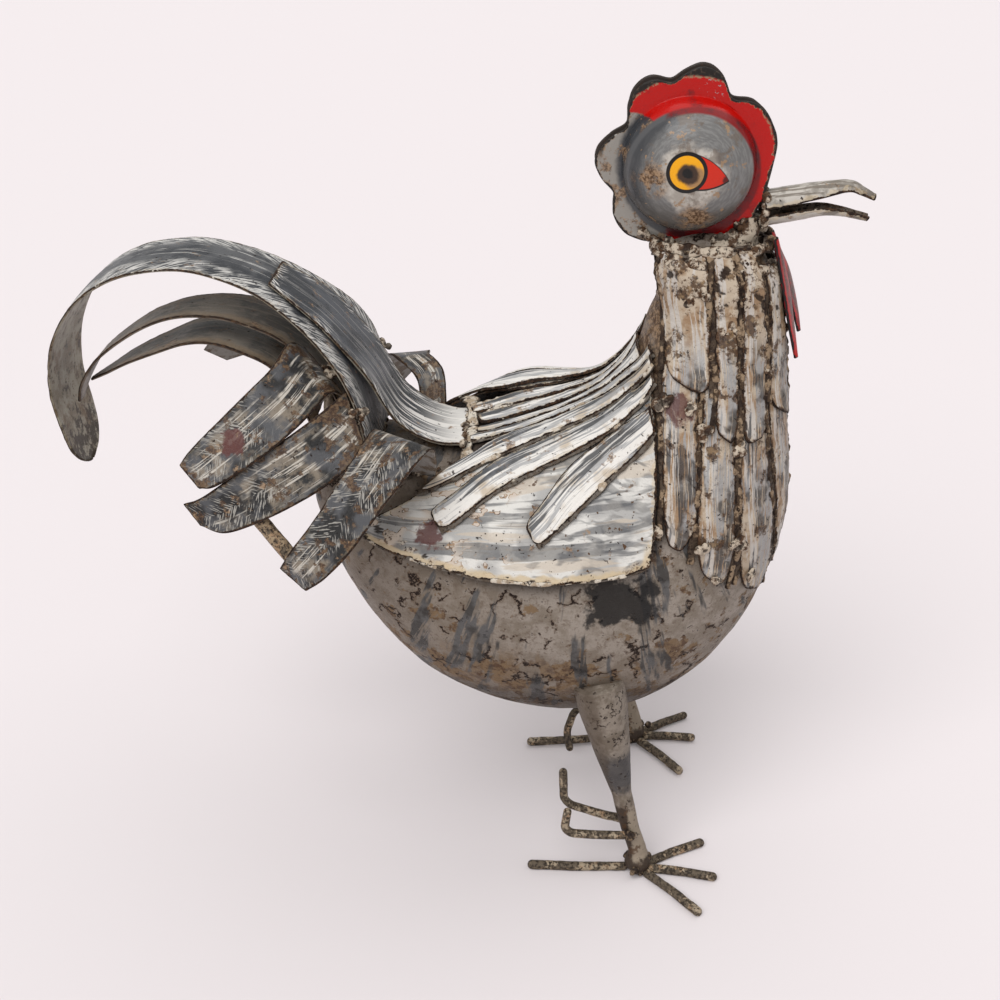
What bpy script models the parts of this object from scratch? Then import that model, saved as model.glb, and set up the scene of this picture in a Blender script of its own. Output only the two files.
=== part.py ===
"""Rooster welded from scrap sheet steel and round bar, standing on its toes on z = 0.

Lengths are metres. The bird looks along +X, its left side is +Y, and its body, neck and rump
are one shell, a bent tube whose sections fan out about a line above the back.
"""
from math import cos, radians, sin

import bmesh
import bpy
import numpy as np

# Sheet and bar stock
SHEET = 0.0015
GAP = 0.0003
WELD_GAP = 0.0010
TOE_BAR = 0.0060
SPUR_BAR = 0.0056
SHANK_BAR = 0.0120
BRACE_BAR = 0.0088

# The drawing's zero lies this far behind the middle of the finished bird's length
DRAWN_BEHIND = 0.0031

# Body shell: turn is degrees below +X about the fan line, girth is degrees round the tube
# from the belly line, positive on the left, with 180 on the back line
FAN_X = 0.087
FAN_Z = 0.411
BODY_SECTIONS = np.array([
    # turn, inner radius, outer radius, half width
    (0, 0.038, 0.094, 0.022),
    (9, 0.037, 0.104, 0.031),
    (22, 0.040, 0.117, 0.034),
    (40, 0.049, 0.151, 0.043),
    (55, 0.057, 0.211, 0.058),
    (68, 0.072, 0.268, 0.072),
    (82, 0.088, 0.309, 0.081),
    (97, 0.104, 0.314, 0.085),
    (110, 0.122, 0.300, 0.081),
    (122, 0.146, 0.272, 0.070),
    (132, 0.170, 0.246, 0.054),
    (138, 0.187, 0.228, 0.040),
    (141, 0.196, 0.217, 0.026),
])
BODY_RINGS = 22
BODY_SIDES = 28

# Wing plates: how far the free lower edge stands off the shell, and where the flare starts
WING_FLARE = 0.008
WING_FLARE_GIRTH = 150
WING_EDGE_GIRTH = 100
# The left wing and back strips bow up together between the back line and this girth
LEFT_BOW_RISE = 0.018
LEFT_BOW_TURN = 107
LEFT_BOW_SPREAD = 17
LEFT_BOW_GIRTH = 120

# Head: two pressed plates with a round dome and a scalloped rim, placed from the fan line
HEAD_AHEAD = 0.051
HEAD_RISE = 0.046
HEAD_X = FAN_X + HEAD_AHEAD
HEAD_Z = FAN_Z + HEAD_RISE
HEAD_PLATE_SPACE = 0.010
DOME_RADIUS = 0.035
DOME_HEIGHT = 0.024
HEAD_SIDES = 40
COMB_OUTLINE = [
    # degrees above +X, radius of the rim
    (0, 0.0455), (16, 0.0485), (30, 0.0490), (45, 0.0470), (60, 0.0415), (72, 0.0495),
    (84, 0.0525), (95, 0.0490), (104, 0.0455), (117, 0.0505), (128, 0.0500), (139, 0.0455),
    (150, 0.0400), (162, 0.0455), (178, 0.0515), (191, 0.0480), (202, 0.0440), (216, 0.0495),
    (230, 0.0515), (241, 0.0495), (255, 0.0460), (270, 0.0448), (285, 0.0460), (300, 0.0490),
    (315, 0.0480), (332, 0.0462), (346, 0.0450),
]

# Legs and feet
LEG_SPREAD = 0.140
FOOT_X = 0.129
FOOT_BLOB = 0.0105
THIGH_TOP = 0.016
# Length of each toe from the foot's middle, and its degrees from +X toward +Y
TOES_RIGHT = [(0.053, 30), (0.053, -8), (0.057, -46), (0.073, -178)]
TOES_LEFT = [(0.051, 34), (0.047, 0), (0.054, -50), (0.080, -171)]
TOE_BOW = 0.0010

PAINT = {
    "belly": ((0.33, 0.26, 0.21), 0.70, 0.25),
    "feather": ((0.52, 0.48, 0.42), 0.55, 0.30),
    "tail": ((0.30, 0.30, 0.30), 0.50, 0.40),
    "red": ((0.55, 0.02, 0.015), 0.35, 0.10),
    "head": ((0.42, 0.41, 0.39), 0.50, 0.25),
    "bar": ((0.17, 0.13, 0.10), 0.65, 0.45),
}

for old in list(bpy.data.objects):
    bpy.data.objects.remove(old, do_unlink=True)

rooster = bpy.data.collections.new("scrap_metal_rooster")
cutters = bpy.data.collections.new("cutters")
for folder in (rooster, cutters):
    bpy.context.scene.collection.children.link(folder)

# Every piece hangs on one empty, which brings the box's middle onto the origin
figure = bpy.data.objects.new("figure", None)
figure.location.x = -DRAWN_BEHIND
bpy.context.scene.collection.objects.link(figure)


# Materials

def paint(finish):
    """One Principled material for each finish, made the first time it is asked for."""
    found = bpy.data.materials.get(finish)
    if found:
        return found
    colour, roughness, metallic = PAINT[finish]
    made = bpy.data.materials.new(finish)
    made.use_nodes = True
    shader = made.node_tree.nodes["Principled BSDF"]
    shader.inputs["Base Color"].default_value = (*colour, 1)
    shader.inputs["Roughness"].default_value = roughness
    shader.inputs["Metallic"].default_value = metallic
    made.diffuse_color = (*colour, 1)
    return made


# Curves and meshes that every piece uses

def smooth(stations, values, at):
    """Cubic through values at uneven stations, with slopes taken from the neighbours."""
    stations = np.asarray(stations, float)
    values = np.asarray(values, float)
    slopes = np.gradient(values, stations, axis=0)
    at = np.clip(np.asarray(at, float), stations[0], stations[-1])
    left = np.clip(np.searchsorted(stations, at) - 1, 0, len(stations) - 2)
    step = stations[left + 1] - stations[left]
    t = (at - stations[left]) / step
    if values.ndim > 1:
        t = t[..., None]
        step = step[..., None]
    return ((2 * t**3 - 3 * t**2 + 1) * values[left] + (t**3 - 2 * t**2 + t) * step * slopes[left]
            + (3 * t**2 - 2 * t**3) * values[left + 1] + (t**3 - t**2) * step * slopes[left + 1])


def through(points, count):
    """Evenly numbered samples of a smooth line through a few control points."""
    points = np.asarray(points, float)
    return smooth(np.arange(len(points)), points, np.linspace(0, len(points) - 1, count))


def mesh_object(name, vertices, faces, finish, folder=rooster):
    mesh = bpy.data.meshes.new(name)
    mesh.from_pydata([tuple(v) for v in vertices], [], faces)
    mesh.materials.append(paint(finish))
    mesh.shade_smooth()
    mesh.set_sharp_from_angle(angle=radians(40))
    piece = bpy.data.objects.new(name, mesh)
    piece.parent = figure
    folder.objects.link(piece)
    return piece


def thicken(piece, thickness=SHEET, offset=0.0):
    """Give an open surface its sheet thickness: offset 1 puts all of it outside."""
    wall = piece.modifiers.new("sheet", "SOLIDIFY")
    wall.thickness = thickness
    wall.offset = offset
    wall.use_even_offset = True
    return piece


def grid_faces(rows, columns):
    return [(i * columns + j, (i + 1) * columns + j, (i + 1) * columns + j + 1, i * columns + j + 1)
            for i in range(rows - 1) for j in range(columns - 1)]


def sheet_grid(name, points, finish, offset=0.0):
    """A sheet piece from a grid of points whose faces look outward."""
    rows, columns = points.shape[:2]
    piece = mesh_object(name, points.reshape(-1, 3), grid_faces(rows, columns), finish)
    return thicken(piece, offset=offset)


def cut(piece, cutter):
    tool = piece.modifiers.new("trim", "BOOLEAN")
    tool.operation = "DIFFERENCE"
    tool.solver = "EXACT"
    tool.object = cutter


# Body shell

def skin(turn, girth, lift=0.0):
    """Points of the shell at turn and girth, moved outward by lift."""
    turn = np.asarray(turn, float)
    girth = np.asarray(girth, float)

    def plain(turn, girth):
        inner, outer, half = np.moveaxis(smooth(BODY_SECTIONS[:, 0], BODY_SECTIONS[:, 1:], turn), -1, 0)
        around = np.radians(girth)
        radius = (inner + outer) / 2 + (outer - inner) / 2 * np.cos(around)
        down = np.radians(turn)
        return np.stack([FAN_X + radius * np.cos(down), half * np.sin(around),
                         FAN_Z - radius * np.sin(down)], -1)

    nudge = 0.05
    along = plain(turn + nudge, girth) - plain(turn - nudge, girth)
    across = plain(turn, girth + nudge) - plain(turn, girth - nudge)
    normal = np.cross(along, across)
    normal /= np.linalg.norm(normal, axis=-1, keepdims=True)
    return plain(turn, girth) + normal * np.asarray(lift)[..., None]


def shell(name, lift, folder):
    """Loft of rings from the neck top to the rump, closed by a flat face at each end."""
    turns = np.linspace(BODY_SECTIONS[0, 0], BODY_SECTIONS[-1, 0], BODY_RINGS)
    girths = np.arange(BODY_SIDES) * 360 / BODY_SIDES
    rings = skin(*np.meshgrid(turns, girths, indexing="ij"), lift)
    faces = []
    for i in range(BODY_RINGS - 1):
        for j in range(BODY_SIDES):
            k = (j + 1) % BODY_SIDES
            faces.append((i * BODY_SIDES + j, (i + 1) * BODY_SIDES + j,
                          (i + 1) * BODY_SIDES + k, i * BODY_SIDES + k))
    faces.append(tuple(range(BODY_SIDES)))
    last = (BODY_RINGS - 1) * BODY_SIDES
    faces.append(tuple(last + j for j in reversed(range(BODY_SIDES))))
    return mesh_object(name, rings.reshape(-1, 3), faces, "belly", folder)


shell("body", 0.0, rooster)
body_space = shell("body_space", GAP, cutters)
body_space.hide_render = True
body_space.display_type = "WIRE"


# Sheet pieces that follow the shell

def patch(edge_low, edge_high, rows, columns, inset=0.0, tip=0.0, blunt=0.15):
    """Turn and girth of a grid between two edges, each a few (turn, girth) points.

    The sides draw in by inset metres, and the last share of the length, tip, rounds off.
    """
    low = through(edge_low, rows)
    high = through(edge_high, rows)
    middle = (low + high) / 2
    half = (high - low) / 2
    length = np.linspace(0, 1, rows)
    metres = np.linalg.norm(skin(*high.T) - skin(*low.T), axis=-1) / 2
    width = np.clip((metres - inset) / metres, 0.2, 1)
    if tip:
        past = np.clip((length - 1 + tip) / tip, 0, 1)
        width = width * (blunt + (1 - blunt) * np.sqrt(1 - 0.97 * past**2))
    across = np.linspace(-1, 1, columns)
    grid = middle[:, None] + half[:, None] * (width[:, None] * across)[..., None]
    return grid[..., 0], grid[..., 1]


def on_shell(name, edge_low, edge_high, side, lift, finish, rows=9, columns=3, **shape):
    """A sheet piece whose inner face is lift above the shell; side is -1 right, +1 left."""
    turn, girth = patch(edge_low, edge_high, rows, columns, **shape)
    if side < 0:
        turn, girth = turn[:, ::-1], -girth[:, ::-1]
    height = lift(turn, girth) if callable(lift) else np.full(turn.shape, lift)
    return sheet_grid(name, skin(turn, girth, height), finish, offset=1.0)


def back_lift(turn, girth):
    """Height of the strips on the back: welded down, but the left ones bow up."""
    bow = np.exp(-((turn - LEFT_BOW_TURN) / LEFT_BOW_SPREAD)**2)
    across = np.clip((180 - girth) / (180 - LEFT_BOW_GIRTH), 0, 1) * (girth > 0)
    return WELD_GAP + LEFT_BOW_RISE * bow * np.sin(np.pi * across)


def wing_lift(turn, girth):
    """Height of the wing plate: as the back strips, and flared at the lower edge."""
    reach = WING_FLARE_GIRTH - WING_EDGE_GIRTH
    share = np.clip((WING_FLARE_GIRTH - np.abs(girth)) / reach, 0, 1)
    return back_lift(turn, girth) + WING_FLARE * share**2


def strip_lift(turn, girth):
    return wing_lift(turn, girth) + SHEET + WELD_GAP


STRIPS_ON_BACK = 2
WING_TOP = [(63, 148), (78, 163.5), (98, 168.3), (111, 165), (122, 146)]
WING_LOW = [(77.5, 101), (89, 105), (103, 105.5), (117, 101.5), (131, 89)]
WING_STRIPS = [
    # lower edge, upper edge
    ([(64, 164.0), (77, 173), (97, 175.5), (119, 173)],
     [(63.5, 178.4), (77, 179.3), (97, 179.3), (118, 179.3)]),
    ([(57, 151.5), (76, 166.5), (96, 170.3), (110, 168.3), (120, 166.5)],
     [(57, 158), (76, 171.3), (96, 174.6), (110, 174), (119.5, 172)]),
    ([(58, 147), (72, 156), (88, 160.3), (104, 158.5), (116, 149), (125, 128)],
     [(57, 150.6), (72, 162), (88, 168), (104, 167.6), (113, 164), (121, 150)]),
    ([(61, 142.5), (74, 147.5), (88, 149), (102, 145), (111, 136), (118, 116)],
     [(60, 146), (74, 156), (88, 159.3), (103, 157.5), (114, 148), (121.5, 123)]),
    ([(67.5, 132), (76, 133.5), (84, 133), (92, 127), (99.5, 117.5)],
     [(66, 140.5), (76, 146.3), (85, 147.5), (94.5, 143), (103, 125)]),
]
NECK_STRIPS_UPPER = [
    ([(-3, 97), (28, 102), (48, 104)], [(-2, 152), (30, 152), (56, 139.5)]),
    ([(-3, 69), (28, 79), (51, 83)], [(-3, 94), (30, 99.8), (53, 101)]),
    ([(-2, 46), (25, 51), (45, 58)], [(-3, 66), (28, 76.5), (50, 81)]),
    ([(6, 14), (25, 16), (41, 18)], [(5, 43), (25, 48.5), (40, 54)]),
]
NECK_STRIPS_LOWER = [
    ([(42, 114), (58, 107), (69.5, 90)], [(54, 141), (64.5, 134), (74.5, 104)]),
    ([(42, 85), (55, 80), (66, 62)], [(44, 111), (60, 105), (70, 87)]),
    ([(38, 57), (50, 51), (62, 24)], [(41, 82), (55, 77.5), (65, 59.5)]),
    ([(33, 5), (47, 5), (60, 6)], [(36, 52), (49, 48), (60, 22)]),
]
STRIP_INSET = 0.0004
STRIP_TIP = 0.05

for side, word in ((-1, "right"), (1, "left")):
    on_shell(f"wing_{word}", WING_LOW, WING_TOP, side, wing_lift, "feather", rows=12, columns=7)
    kept = WING_STRIPS if side < 0 else WING_STRIPS[:4]
    for number, (low, high) in enumerate(kept, 1):
        lift = back_lift if number <= STRIPS_ON_BACK else strip_lift
        on_shell(f"wing_strip_{word}_{number}", low, high, side, lift, "feather",
                 rows=12, inset=STRIP_INSET, tip=STRIP_TIP, blunt=0.6)
    for number, (low, high) in enumerate(NECK_STRIPS_UPPER, 1):
        on_shell(f"neck_strip_{word}_{number}", low, high, side, 2 * WELD_GAP + SHEET, "feather",
                 columns=4 if number == 1 else 3, inset=STRIP_INSET, tip=0.12, blunt=0.4)
    for number, (low, high) in enumerate(NECK_STRIPS_LOWER, 5):
        on_shell(f"neck_strip_{word}_{number}", low, high, side, WELD_GAP, "feather",
                 columns=4 if number < 7 else 3, inset=STRIP_INSET, tip=0.2, blunt=0.2)


# Head

def head_plate(name, side):
    """Pressed plate: a dome, its steep wall, and a flat rim that follows the comb's outline."""
    angles = np.arange(HEAD_SIDES) * 360 / HEAD_SIDES
    turns, radii = np.array(COMB_OUTLINE).T
    turns = np.concatenate([turns - 360, turns, turns + 360])
    rim = smooth(turns, np.tile(radii, 3), angles)
    shares = np.array([0.45, 0.8, 1.0])
    heights = DOME_HEIGHT * np.sqrt(1 - 0.97 * shares**2.4)
    heights[-1] = 0
    radius = [np.full(HEAD_SIDES, DOME_RADIUS * share) for share in shares] + [rim]
    depth = list(heights) + [0.0]
    flat = HEAD_PLATE_SPACE / 2
    turn = np.radians(angles)
    vertices = [(HEAD_X, side * (flat + DOME_HEIGHT), HEAD_Z)]
    for reach, rise in zip(radius, depth):
        for angle, length in zip(turn, reach):
            vertices.append((HEAD_X + length * cos(angle), side * (flat + rise),
                             HEAD_Z + length * sin(angle)))
    faces = []
    for j in range(HEAD_SIDES):
        k = (j + 1) % HEAD_SIDES
        faces.append((0, 1 + j, 1 + k))
        for i in range(len(radius) - 1):
            here, there = 1 + i * HEAD_SIDES, 1 + (i + 1) * HEAD_SIDES
            faces.append((here + j, there + j, there + k, here + k))
    if side > 0:
        faces = [face[::-1] for face in faces]
    return thicken(mesh_object(name, vertices, faces, "head"), offset=1.0)


head_plate("head_plate_right", -1)
head_plate("head_plate_left", 1)


# Beak: two troughs bent from sheet

def trough(name, path, radii, up, finish="head", stations=9, columns=6):
    """Half tube along a path in the mid plane, open below where up is 1, above where it is -1.

    The path is measured from the middle of the dome.
    """
    axis = through(path, stations) + np.array([HEAD_X, HEAD_Z])
    radius = through(radii, stations)
    slope = np.gradient(axis, axis=0)
    slope /= np.linalg.norm(slope, axis=-1, keepdims=True)
    rise = np.stack([-slope[:, 1], slope[:, 0]], -1) * up
    fold = np.radians(np.linspace(-84, 84, columns)) * up
    points = np.zeros((stations, columns, 3))
    points[..., 0] = axis[:, None, 0] + radius[:, None] * np.cos(fold) * rise[:, None, 0]
    points[..., 2] = axis[:, None, 1] + radius[:, None] * np.cos(fold) * rise[:, None, 1]
    points[..., 1] = radius[:, None] * np.sin(fold)
    return sheet_grid(name, points, finish, offset=-1.0)


trough("upper_beak", [(0.0440, -0.0252), (0.0612, -0.0212), (0.0748, -0.0179), (0.0890, -0.0145),
                      (0.0960, -0.0163), (0.1040, -0.0195)],
       [0.0098, 0.0091, 0.0079, 0.0056, 0.0044, 0.0033], 1)
trough("lower_beak", [(0.0397, -0.0290), (0.0618, -0.0250), (0.0756, -0.0233), (0.0870, -0.0248),
                      (0.1025, -0.0287)], [0.0078, 0.0072, 0.0062, 0.0048, 0.0035], -1)


# Bands cut from sheet and bent in the air

def band(name, path, halves, finish="tail", stations=16, columns=3, crown=0.0, up=(0, 0, 1)):
    """Sheet strip along a path; halves are its half width vectors at the same control points.

    The strip's middle stands off by crown on the side where up points.
    """
    centre = through(path, stations)
    half = through(halves, stations)
    along = np.gradient(centre, axis=0)
    normal = np.cross(along, half)
    normal /= np.linalg.norm(normal, axis=-1, keepdims=True)
    if (normal[stations // 2] @ np.array(up)) < 0:
        normal = -normal
    across = np.linspace(-1, 1, columns)
    points = centre[:, None] + half[:, None] * across[:, None]
    points = points + normal[:, None] * (crown * (1 - across**2))[:, None]
    return sheet_grid(name, points, finish)


def flat_band(path_xz, halves, y=0.0):
    """Control points and half width vectors of a band that lies square to the mid plane."""
    path = [(x, y, z) for x, z in path_xz]
    return path, [(0, half, 0) for half in halves]


MAIN_SICKLE = [(-0.040, 0.2885), (-0.046, 0.320), (-0.057, 0.345), (-0.076, 0.366), (-0.101, 0.384),
               (-0.126, 0.394), (-0.153, 0.398), (-0.187, 0.392), (-0.213, 0.375), (-0.230, 0.348),
               (-0.235, 0.318), (-0.231, 0.289), (-0.227, 0.268), (-0.226, 0.262)]
MAIN_SICKLE_HALVES = [0.050, 0.050, 0.049, 0.042, 0.034, 0.031, 0.030, 0.029, 0.029, 0.029, 0.029,
                      0.027, 0.018, 0.009]
SICKLE_CROWN = 0.0012
band("main_sickle", *flat_band(MAIN_SICKLE, MAIN_SICKLE_HALVES), stations=27, crown=SICKLE_CROWN)

OVERLAY_RISE = SHEET + WELD_GAP + SICKLE_CROWN
overlay = []
for k in (4, 3, 2):
    (x, z), before, after = MAIN_SICKLE[k], MAIN_SICKLE[k - 1], MAIN_SICKLE[k + 1]
    run = np.array([before[0] - after[0], before[1] - after[1]])
    run /= np.linalg.norm(run)
    overlay.append((x - OVERLAY_RISE * run[1], z + OVERLAY_RISE * run[0]))
overlay += [(-0.042, 0.331), (-0.035, 0.318), (-0.027, 0.306), (-0.015, 0.297), (-0.001, 0.2915),
            (0.013, 0.2905)]
band("sickle_overlay", *flat_band(overlay, [0.020, 0.027, 0.028, 0.028, 0.028, 0.028, 0.028, 0.027, 0.025]),
     stations=17)

band("second_sickle", *flat_band(
    [(-0.057, 0.302), (-0.064, 0.322), (-0.075, 0.339), (-0.090, 0.353), (-0.108, 0.362), (-0.132, 0.367),
     (-0.158, 0.365), (-0.182, 0.355), (-0.208, 0.336), (-0.221, 0.318), (-0.2265, 0.304)],
    [0.024, 0.024, 0.024, 0.024, 0.023, 0.020, 0.017, 0.015, 0.013, 0.010, 0.004], y=-0.003), stations=19)
band("third_sickle", *flat_band(
    [(-0.0785, 0.300), (-0.083, 0.313), (-0.090, 0.326), (-0.101, 0.340), (-0.117, 0.348), (-0.135, 0.352),
     (-0.152, 0.350), (-0.170, 0.343), (-0.190, 0.334), (-0.206, 0.3245), (-0.2180, 0.3175)],
    [0.024, 0.025, 0.026, 0.027, 0.027, 0.024, 0.021, 0.018, 0.014, 0.008, 0.002], y=-0.002), stations=19)

COVERT_HALVES_1 = [(0.0125, -0.008, -0.0115), (0.0125, -0.008, -0.0115), (0.010, -0.008, -0.012),
                   (0.009, -0.009, -0.011), (0.008, -0.006, -0.008), (0.006, -0.004, -0.005)]
COVERT_HALVES_2 = [(0.006, -0.009, -0.012), (0.009, -0.008, -0.012), (0.009, -0.006, -0.0135),
                   (0.009, -0.005, -0.012), (0.007, -0.004, -0.009), (0.005, -0.003, -0.005)]
COVERTS = {
    "tail_covert_right_1": (-1, [(-0.068, 0.031, 0.338), (-0.075, 0.041, 0.344), (-0.085, 0.060, 0.335),
                                 (-0.104, 0.078, 0.321), (-0.128, 0.088, 0.303), (-0.137, 0.089, 0.297)],
                            COVERT_HALVES_1),
    "tail_covert_right_2": (-1, [(-0.0475, 0.053, 0.319), (-0.056, 0.067, 0.313), (-0.069, 0.078, 0.305),
                                 (-0.094, 0.091, 0.292), (-0.122, 0.096, 0.277), (-0.137, 0.092, 0.274)],
                            COVERT_HALVES_2),
    "tail_covert_left_1": (1, [(-0.068, 0.028, 0.337), (-0.078, 0.040, 0.343), (-0.097, 0.052, 0.338),
                               (-0.125, 0.058, 0.327), (-0.146, 0.060, 0.316), (-0.157, 0.060, 0.309)],
                           COVERT_HALVES_1),
    "tail_covert_left_2": (1, [(-0.0475, 0.053, 0.319), (-0.057, 0.067, 0.313), (-0.074, 0.080, 0.303),
                               (-0.098, 0.090, 0.288), (-0.120, 0.092, 0.274), (-0.132, 0.090, 0.268)],
                           COVERT_HALVES_2),
}


def side_band(name, side, path, halves, **shape):
    """A band given on one side: heights in y of the path are distances from the mid plane."""
    path = [(x, side * y, z) for x, y, z in path]
    halves = [(x, -side * y, z) for x, y, z in halves]
    return band(name, path, halves, **shape)


for name, (side, path, halves) in COVERTS.items():
    side_band(name, side, path, halves, stations=10)

SADDLE_PATH = [(-0.015, 0.040, 0.2784), (-0.016, 0.056, 0.300), (-0.019, 0.073, 0.315),
               (-0.035, 0.094, 0.298), (-0.053, 0.109, 0.274), (-0.068, 0.113, 0.256),
               (-0.078, 0.108, 0.243)]
SADDLE_HALVES = [(0.012, -0.004, 0), (0.016, -0.009, 0), (0.017, -0.012, 0), (0.0125, -0.012, -0.004),
                 (0.011, -0.009, -0.005), (0.010, -0.006, -0.005), (0.008, -0.005, -0.004)]
# The left strip stands lower and further back where it leaves the back
LEFT_SADDLE_PATH = [(-0.012, 0.038, 0.2790), (-0.015, 0.052, 0.301), (-0.027, 0.066, 0.308)]
LEFT_SADDLE_PATH += SADDLE_PATH[3:]
LEFT_SADDLE_HALVES = [(0.008, -0.002, 0), (0.008, -0.003, 0.002), (0.009, -0.006, 0)]
LEFT_SADDLE_HALVES += SADDLE_HALVES[3:]
side_band("saddle_strip_right", -1, SADDLE_PATH, SADDLE_HALVES, stations=14)
side_band("saddle_strip_left", 1, LEFT_SADDLE_PATH, LEFT_SADDLE_HALVES, stations=14)

WATTLE_HALF = 0.0095
WATTLE_SLANT = (0.22, 0.97, 0)
WATTLE_SHAPE = [0.35, 0.75, 1.0, 0.95, 0.6, 0.15]
THROAT_X = FAN_X + BODY_SECTIONS[0, 2]
THROAT_Z = FAN_Z
# Points down the middle of each wattle, measured from the front of the neck's top
WATTLES = {
    "wattle_right": [(0.0075, -0.009, 0.0055), (0.0120, -0.010, -0.009), (0.0160, -0.011, -0.023),
                     (0.0192, -0.012, -0.037), (0.0223, -0.013, -0.051), (0.0250, -0.013, -0.064)],
    "wattle_left": [(0.0075, 0.009, 0.004), (0.0125, 0.009, -0.008), (0.0180, 0.009, -0.020),
                    (0.0225, 0.009, -0.033), (0.0260, 0.009, -0.045), (0.0285, 0.009, -0.056)],
}
for name, path in WATTLES.items():
    path = [(THROAT_X + x, y, THROAT_Z + z) for x, y, z in path]
    halves = [[way * WATTLE_HALF * share for way in WATTLE_SLANT] for share in WATTLE_SHAPE]
    band(name, path, halves, finish="red", stations=8)


# Tail root: a wedge shaped sleeve that stands on the rump between the sickles

def tail_root():
    """Loft of ellipses that narrow upward from the rump's ridge."""
    rings = [(-0.0645, 0.2892, 0.009, 0.012), (-0.0665, 0.298, 0.008, 0.022), (-0.070, 0.320, 0.004, 0.020)]
    sides = 12
    turn = np.arange(sides) * 2 * np.pi / sides
    vertices = []
    for x, z, half_x, half_y in rings:
        vertices += [(x + half_x * cos(a), half_y * sin(a), z) for a in turn]
    faces = [tuple(reversed(range(sides)))]
    for i in range(len(rings) - 1):
        for j in range(sides):
            k = (j + 1) % sides
            faces.append((i * sides + j, i * sides + k, (i + 1) * sides + k, (i + 1) * sides + j))
    faces.append(tuple(range((len(rings) - 1) * sides, len(rings) * sides)))
    return mesh_object("tail_root", vertices, faces, "belly")


tail_root()


# Round bar pieces

BAR_FACET = cos(radians(22.5))


def bar(name, points, radii, finish="bar"):
    """Eight sided bar along straight runs between points, with a facet turned to the floor."""
    curve = bpy.data.curves.new(name, "CURVE")
    curve.dimensions = "3D"
    curve.bevel_depth = 1.0
    curve.bevel_resolution = 2
    curve.use_fill_caps = True
    curve.twist_mode = "Z_UP"
    line = curve.splines.new("POLY")
    line.points.add(len(points) - 1)
    for point, place, radius in zip(line.points, points, radii):
        point.co = (*place, 1)
        point.radius = radius
        point.tilt = radians(22.5)
    guide = bpy.data.objects.new(name + "_curve", curve)
    rooster.objects.link(guide)
    seen = guide.evaluated_get(bpy.context.evaluated_depsgraph_get())
    mesh = bpy.data.meshes.new_from_object(seen)
    made = bmesh.new()
    made.from_mesh(mesh)
    bmesh.ops.remove_doubles(made, verts=made.verts, dist=0.00001)
    made.to_mesh(mesh)
    made.free()
    mesh.name = name
    mesh.materials.clear()
    mesh.materials.append(paint(finish))
    piece = bpy.data.objects.new(name, mesh)
    piece.matrix_world = guide.matrix_world
    piece.parent = figure
    rooster.objects.link(piece)
    bpy.data.objects.remove(guide, do_unlink=True)
    return piece


def rounded_bar(name, points, thick, round_start=False):
    """A bar of even thickness whose free end is rounded over."""
    points = [np.array(p, float) for p in points]
    radius = thick / 2
    run = points[-1] - points[-2]
    run /= np.linalg.norm(run)
    points = points[:-1] + [points[-1] - run * radius * 0.9, points[-1] - run * radius * 0.3, points[-1]]
    radii = [radius] * (len(points) - 2) + [radius * 0.85, radius * 0.45]
    if round_start:
        run = points[1] - points[0]
        run /= np.linalg.norm(run)
        points = [points[0], points[0] + run * radius * 0.4] + points[1:]
        radii = [radius * 0.55] + radii
    return bar(name, points, radii)


def leg(name, side):
    """Sheet thigh that tapers into a bar shank and ends in the weld lump of the foot."""
    y = side * LEG_SPREAD / 2
    shank = SHANK_BAR / 2
    points = [(FOOT_X - 0.031, y * 0.94, 0.150), (FOOT_X - 0.027, y * 0.95, 0.130),
              (FOOT_X - 0.020, y * 0.97, 0.098), (FOOT_X - 0.013, y * 0.99, 0.066),
              (FOOT_X - 0.006, y, 0.036), (FOOT_X, y, 0.017), (FOOT_X, y, 0.010), (FOOT_X, y, 0.003),
              (FOOT_X, y, 0.0008)]
    radii = [THIGH_TOP, THIGH_TOP * 0.97, THIGH_TOP * 0.72, shank * 1.08, shank, shank, FOOT_BLOB * 0.9,
             FOOT_BLOB, FOOT_BLOB * 0.8]
    return bar(name, points, radii)


def toes(word, side, plan):
    """Bars that lie on the floor and run out from the weld lump; angles open toward +Y."""
    y = side * LEG_SPREAD / 2
    height = TOE_BAR / 2 * BAR_FACET
    for number, (length, angle) in enumerate(plan, 1):
        turn = radians(angle)
        way = np.array([cos(turn), sin(turn), 0])
        hub = np.array([FOOT_X, y, height])
        start = hub + way * (FOOT_BLOB + GAP)
        middle = hub + way * (0.55 * length) + np.array([-way[1], way[0], 0]) * TOE_BOW
        rounded_bar(f"toe_{word}_{number}", [start, middle, hub + way * length], TOE_BAR)


for side, word, plan in ((-1, "right", TOES_RIGHT), (1, "left", TOES_LEFT)):
    cut(leg(f"leg_{word}", side), body_space)
    toes(word, side, plan)

SHANK_SIDE = SHANK_BAR / 2 + SPUR_BAR / 2 + GAP
NEAR_INNER = -LEG_SPREAD / 2 + SHANK_SIDE
NEAR_OUTER = -LEG_SPREAD / 2 - SHANK_SIDE
FAR_INNER = LEG_SPREAD / 2 - SHANK_SIDE
rounded_bar("spur_right_upper", [(FOOT_X - 0.004, NEAR_INNER, 0.036), (FOOT_X - 0.022, NEAR_INNER, 0.0385),
                                 (FOOT_X - 0.045, NEAR_INNER, 0.046), (FOOT_X - 0.050, NEAR_INNER, 0.051),
                                 (FOOT_X - 0.051, NEAR_INNER, 0.076)], SPUR_BAR, round_start=True)
rounded_bar("spur_right_lower", [(FOOT_X - 0.001, NEAR_OUTER, 0.0365), (FOOT_X - 0.030, NEAR_OUTER, 0.036),
                                 (FOOT_X - 0.045, NEAR_OUTER, 0.0365), (FOOT_X - 0.049, NEAR_OUTER, 0.041),
                                 (FOOT_X - 0.047, NEAR_OUTER, 0.057)], SPUR_BAR, round_start=True)
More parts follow.
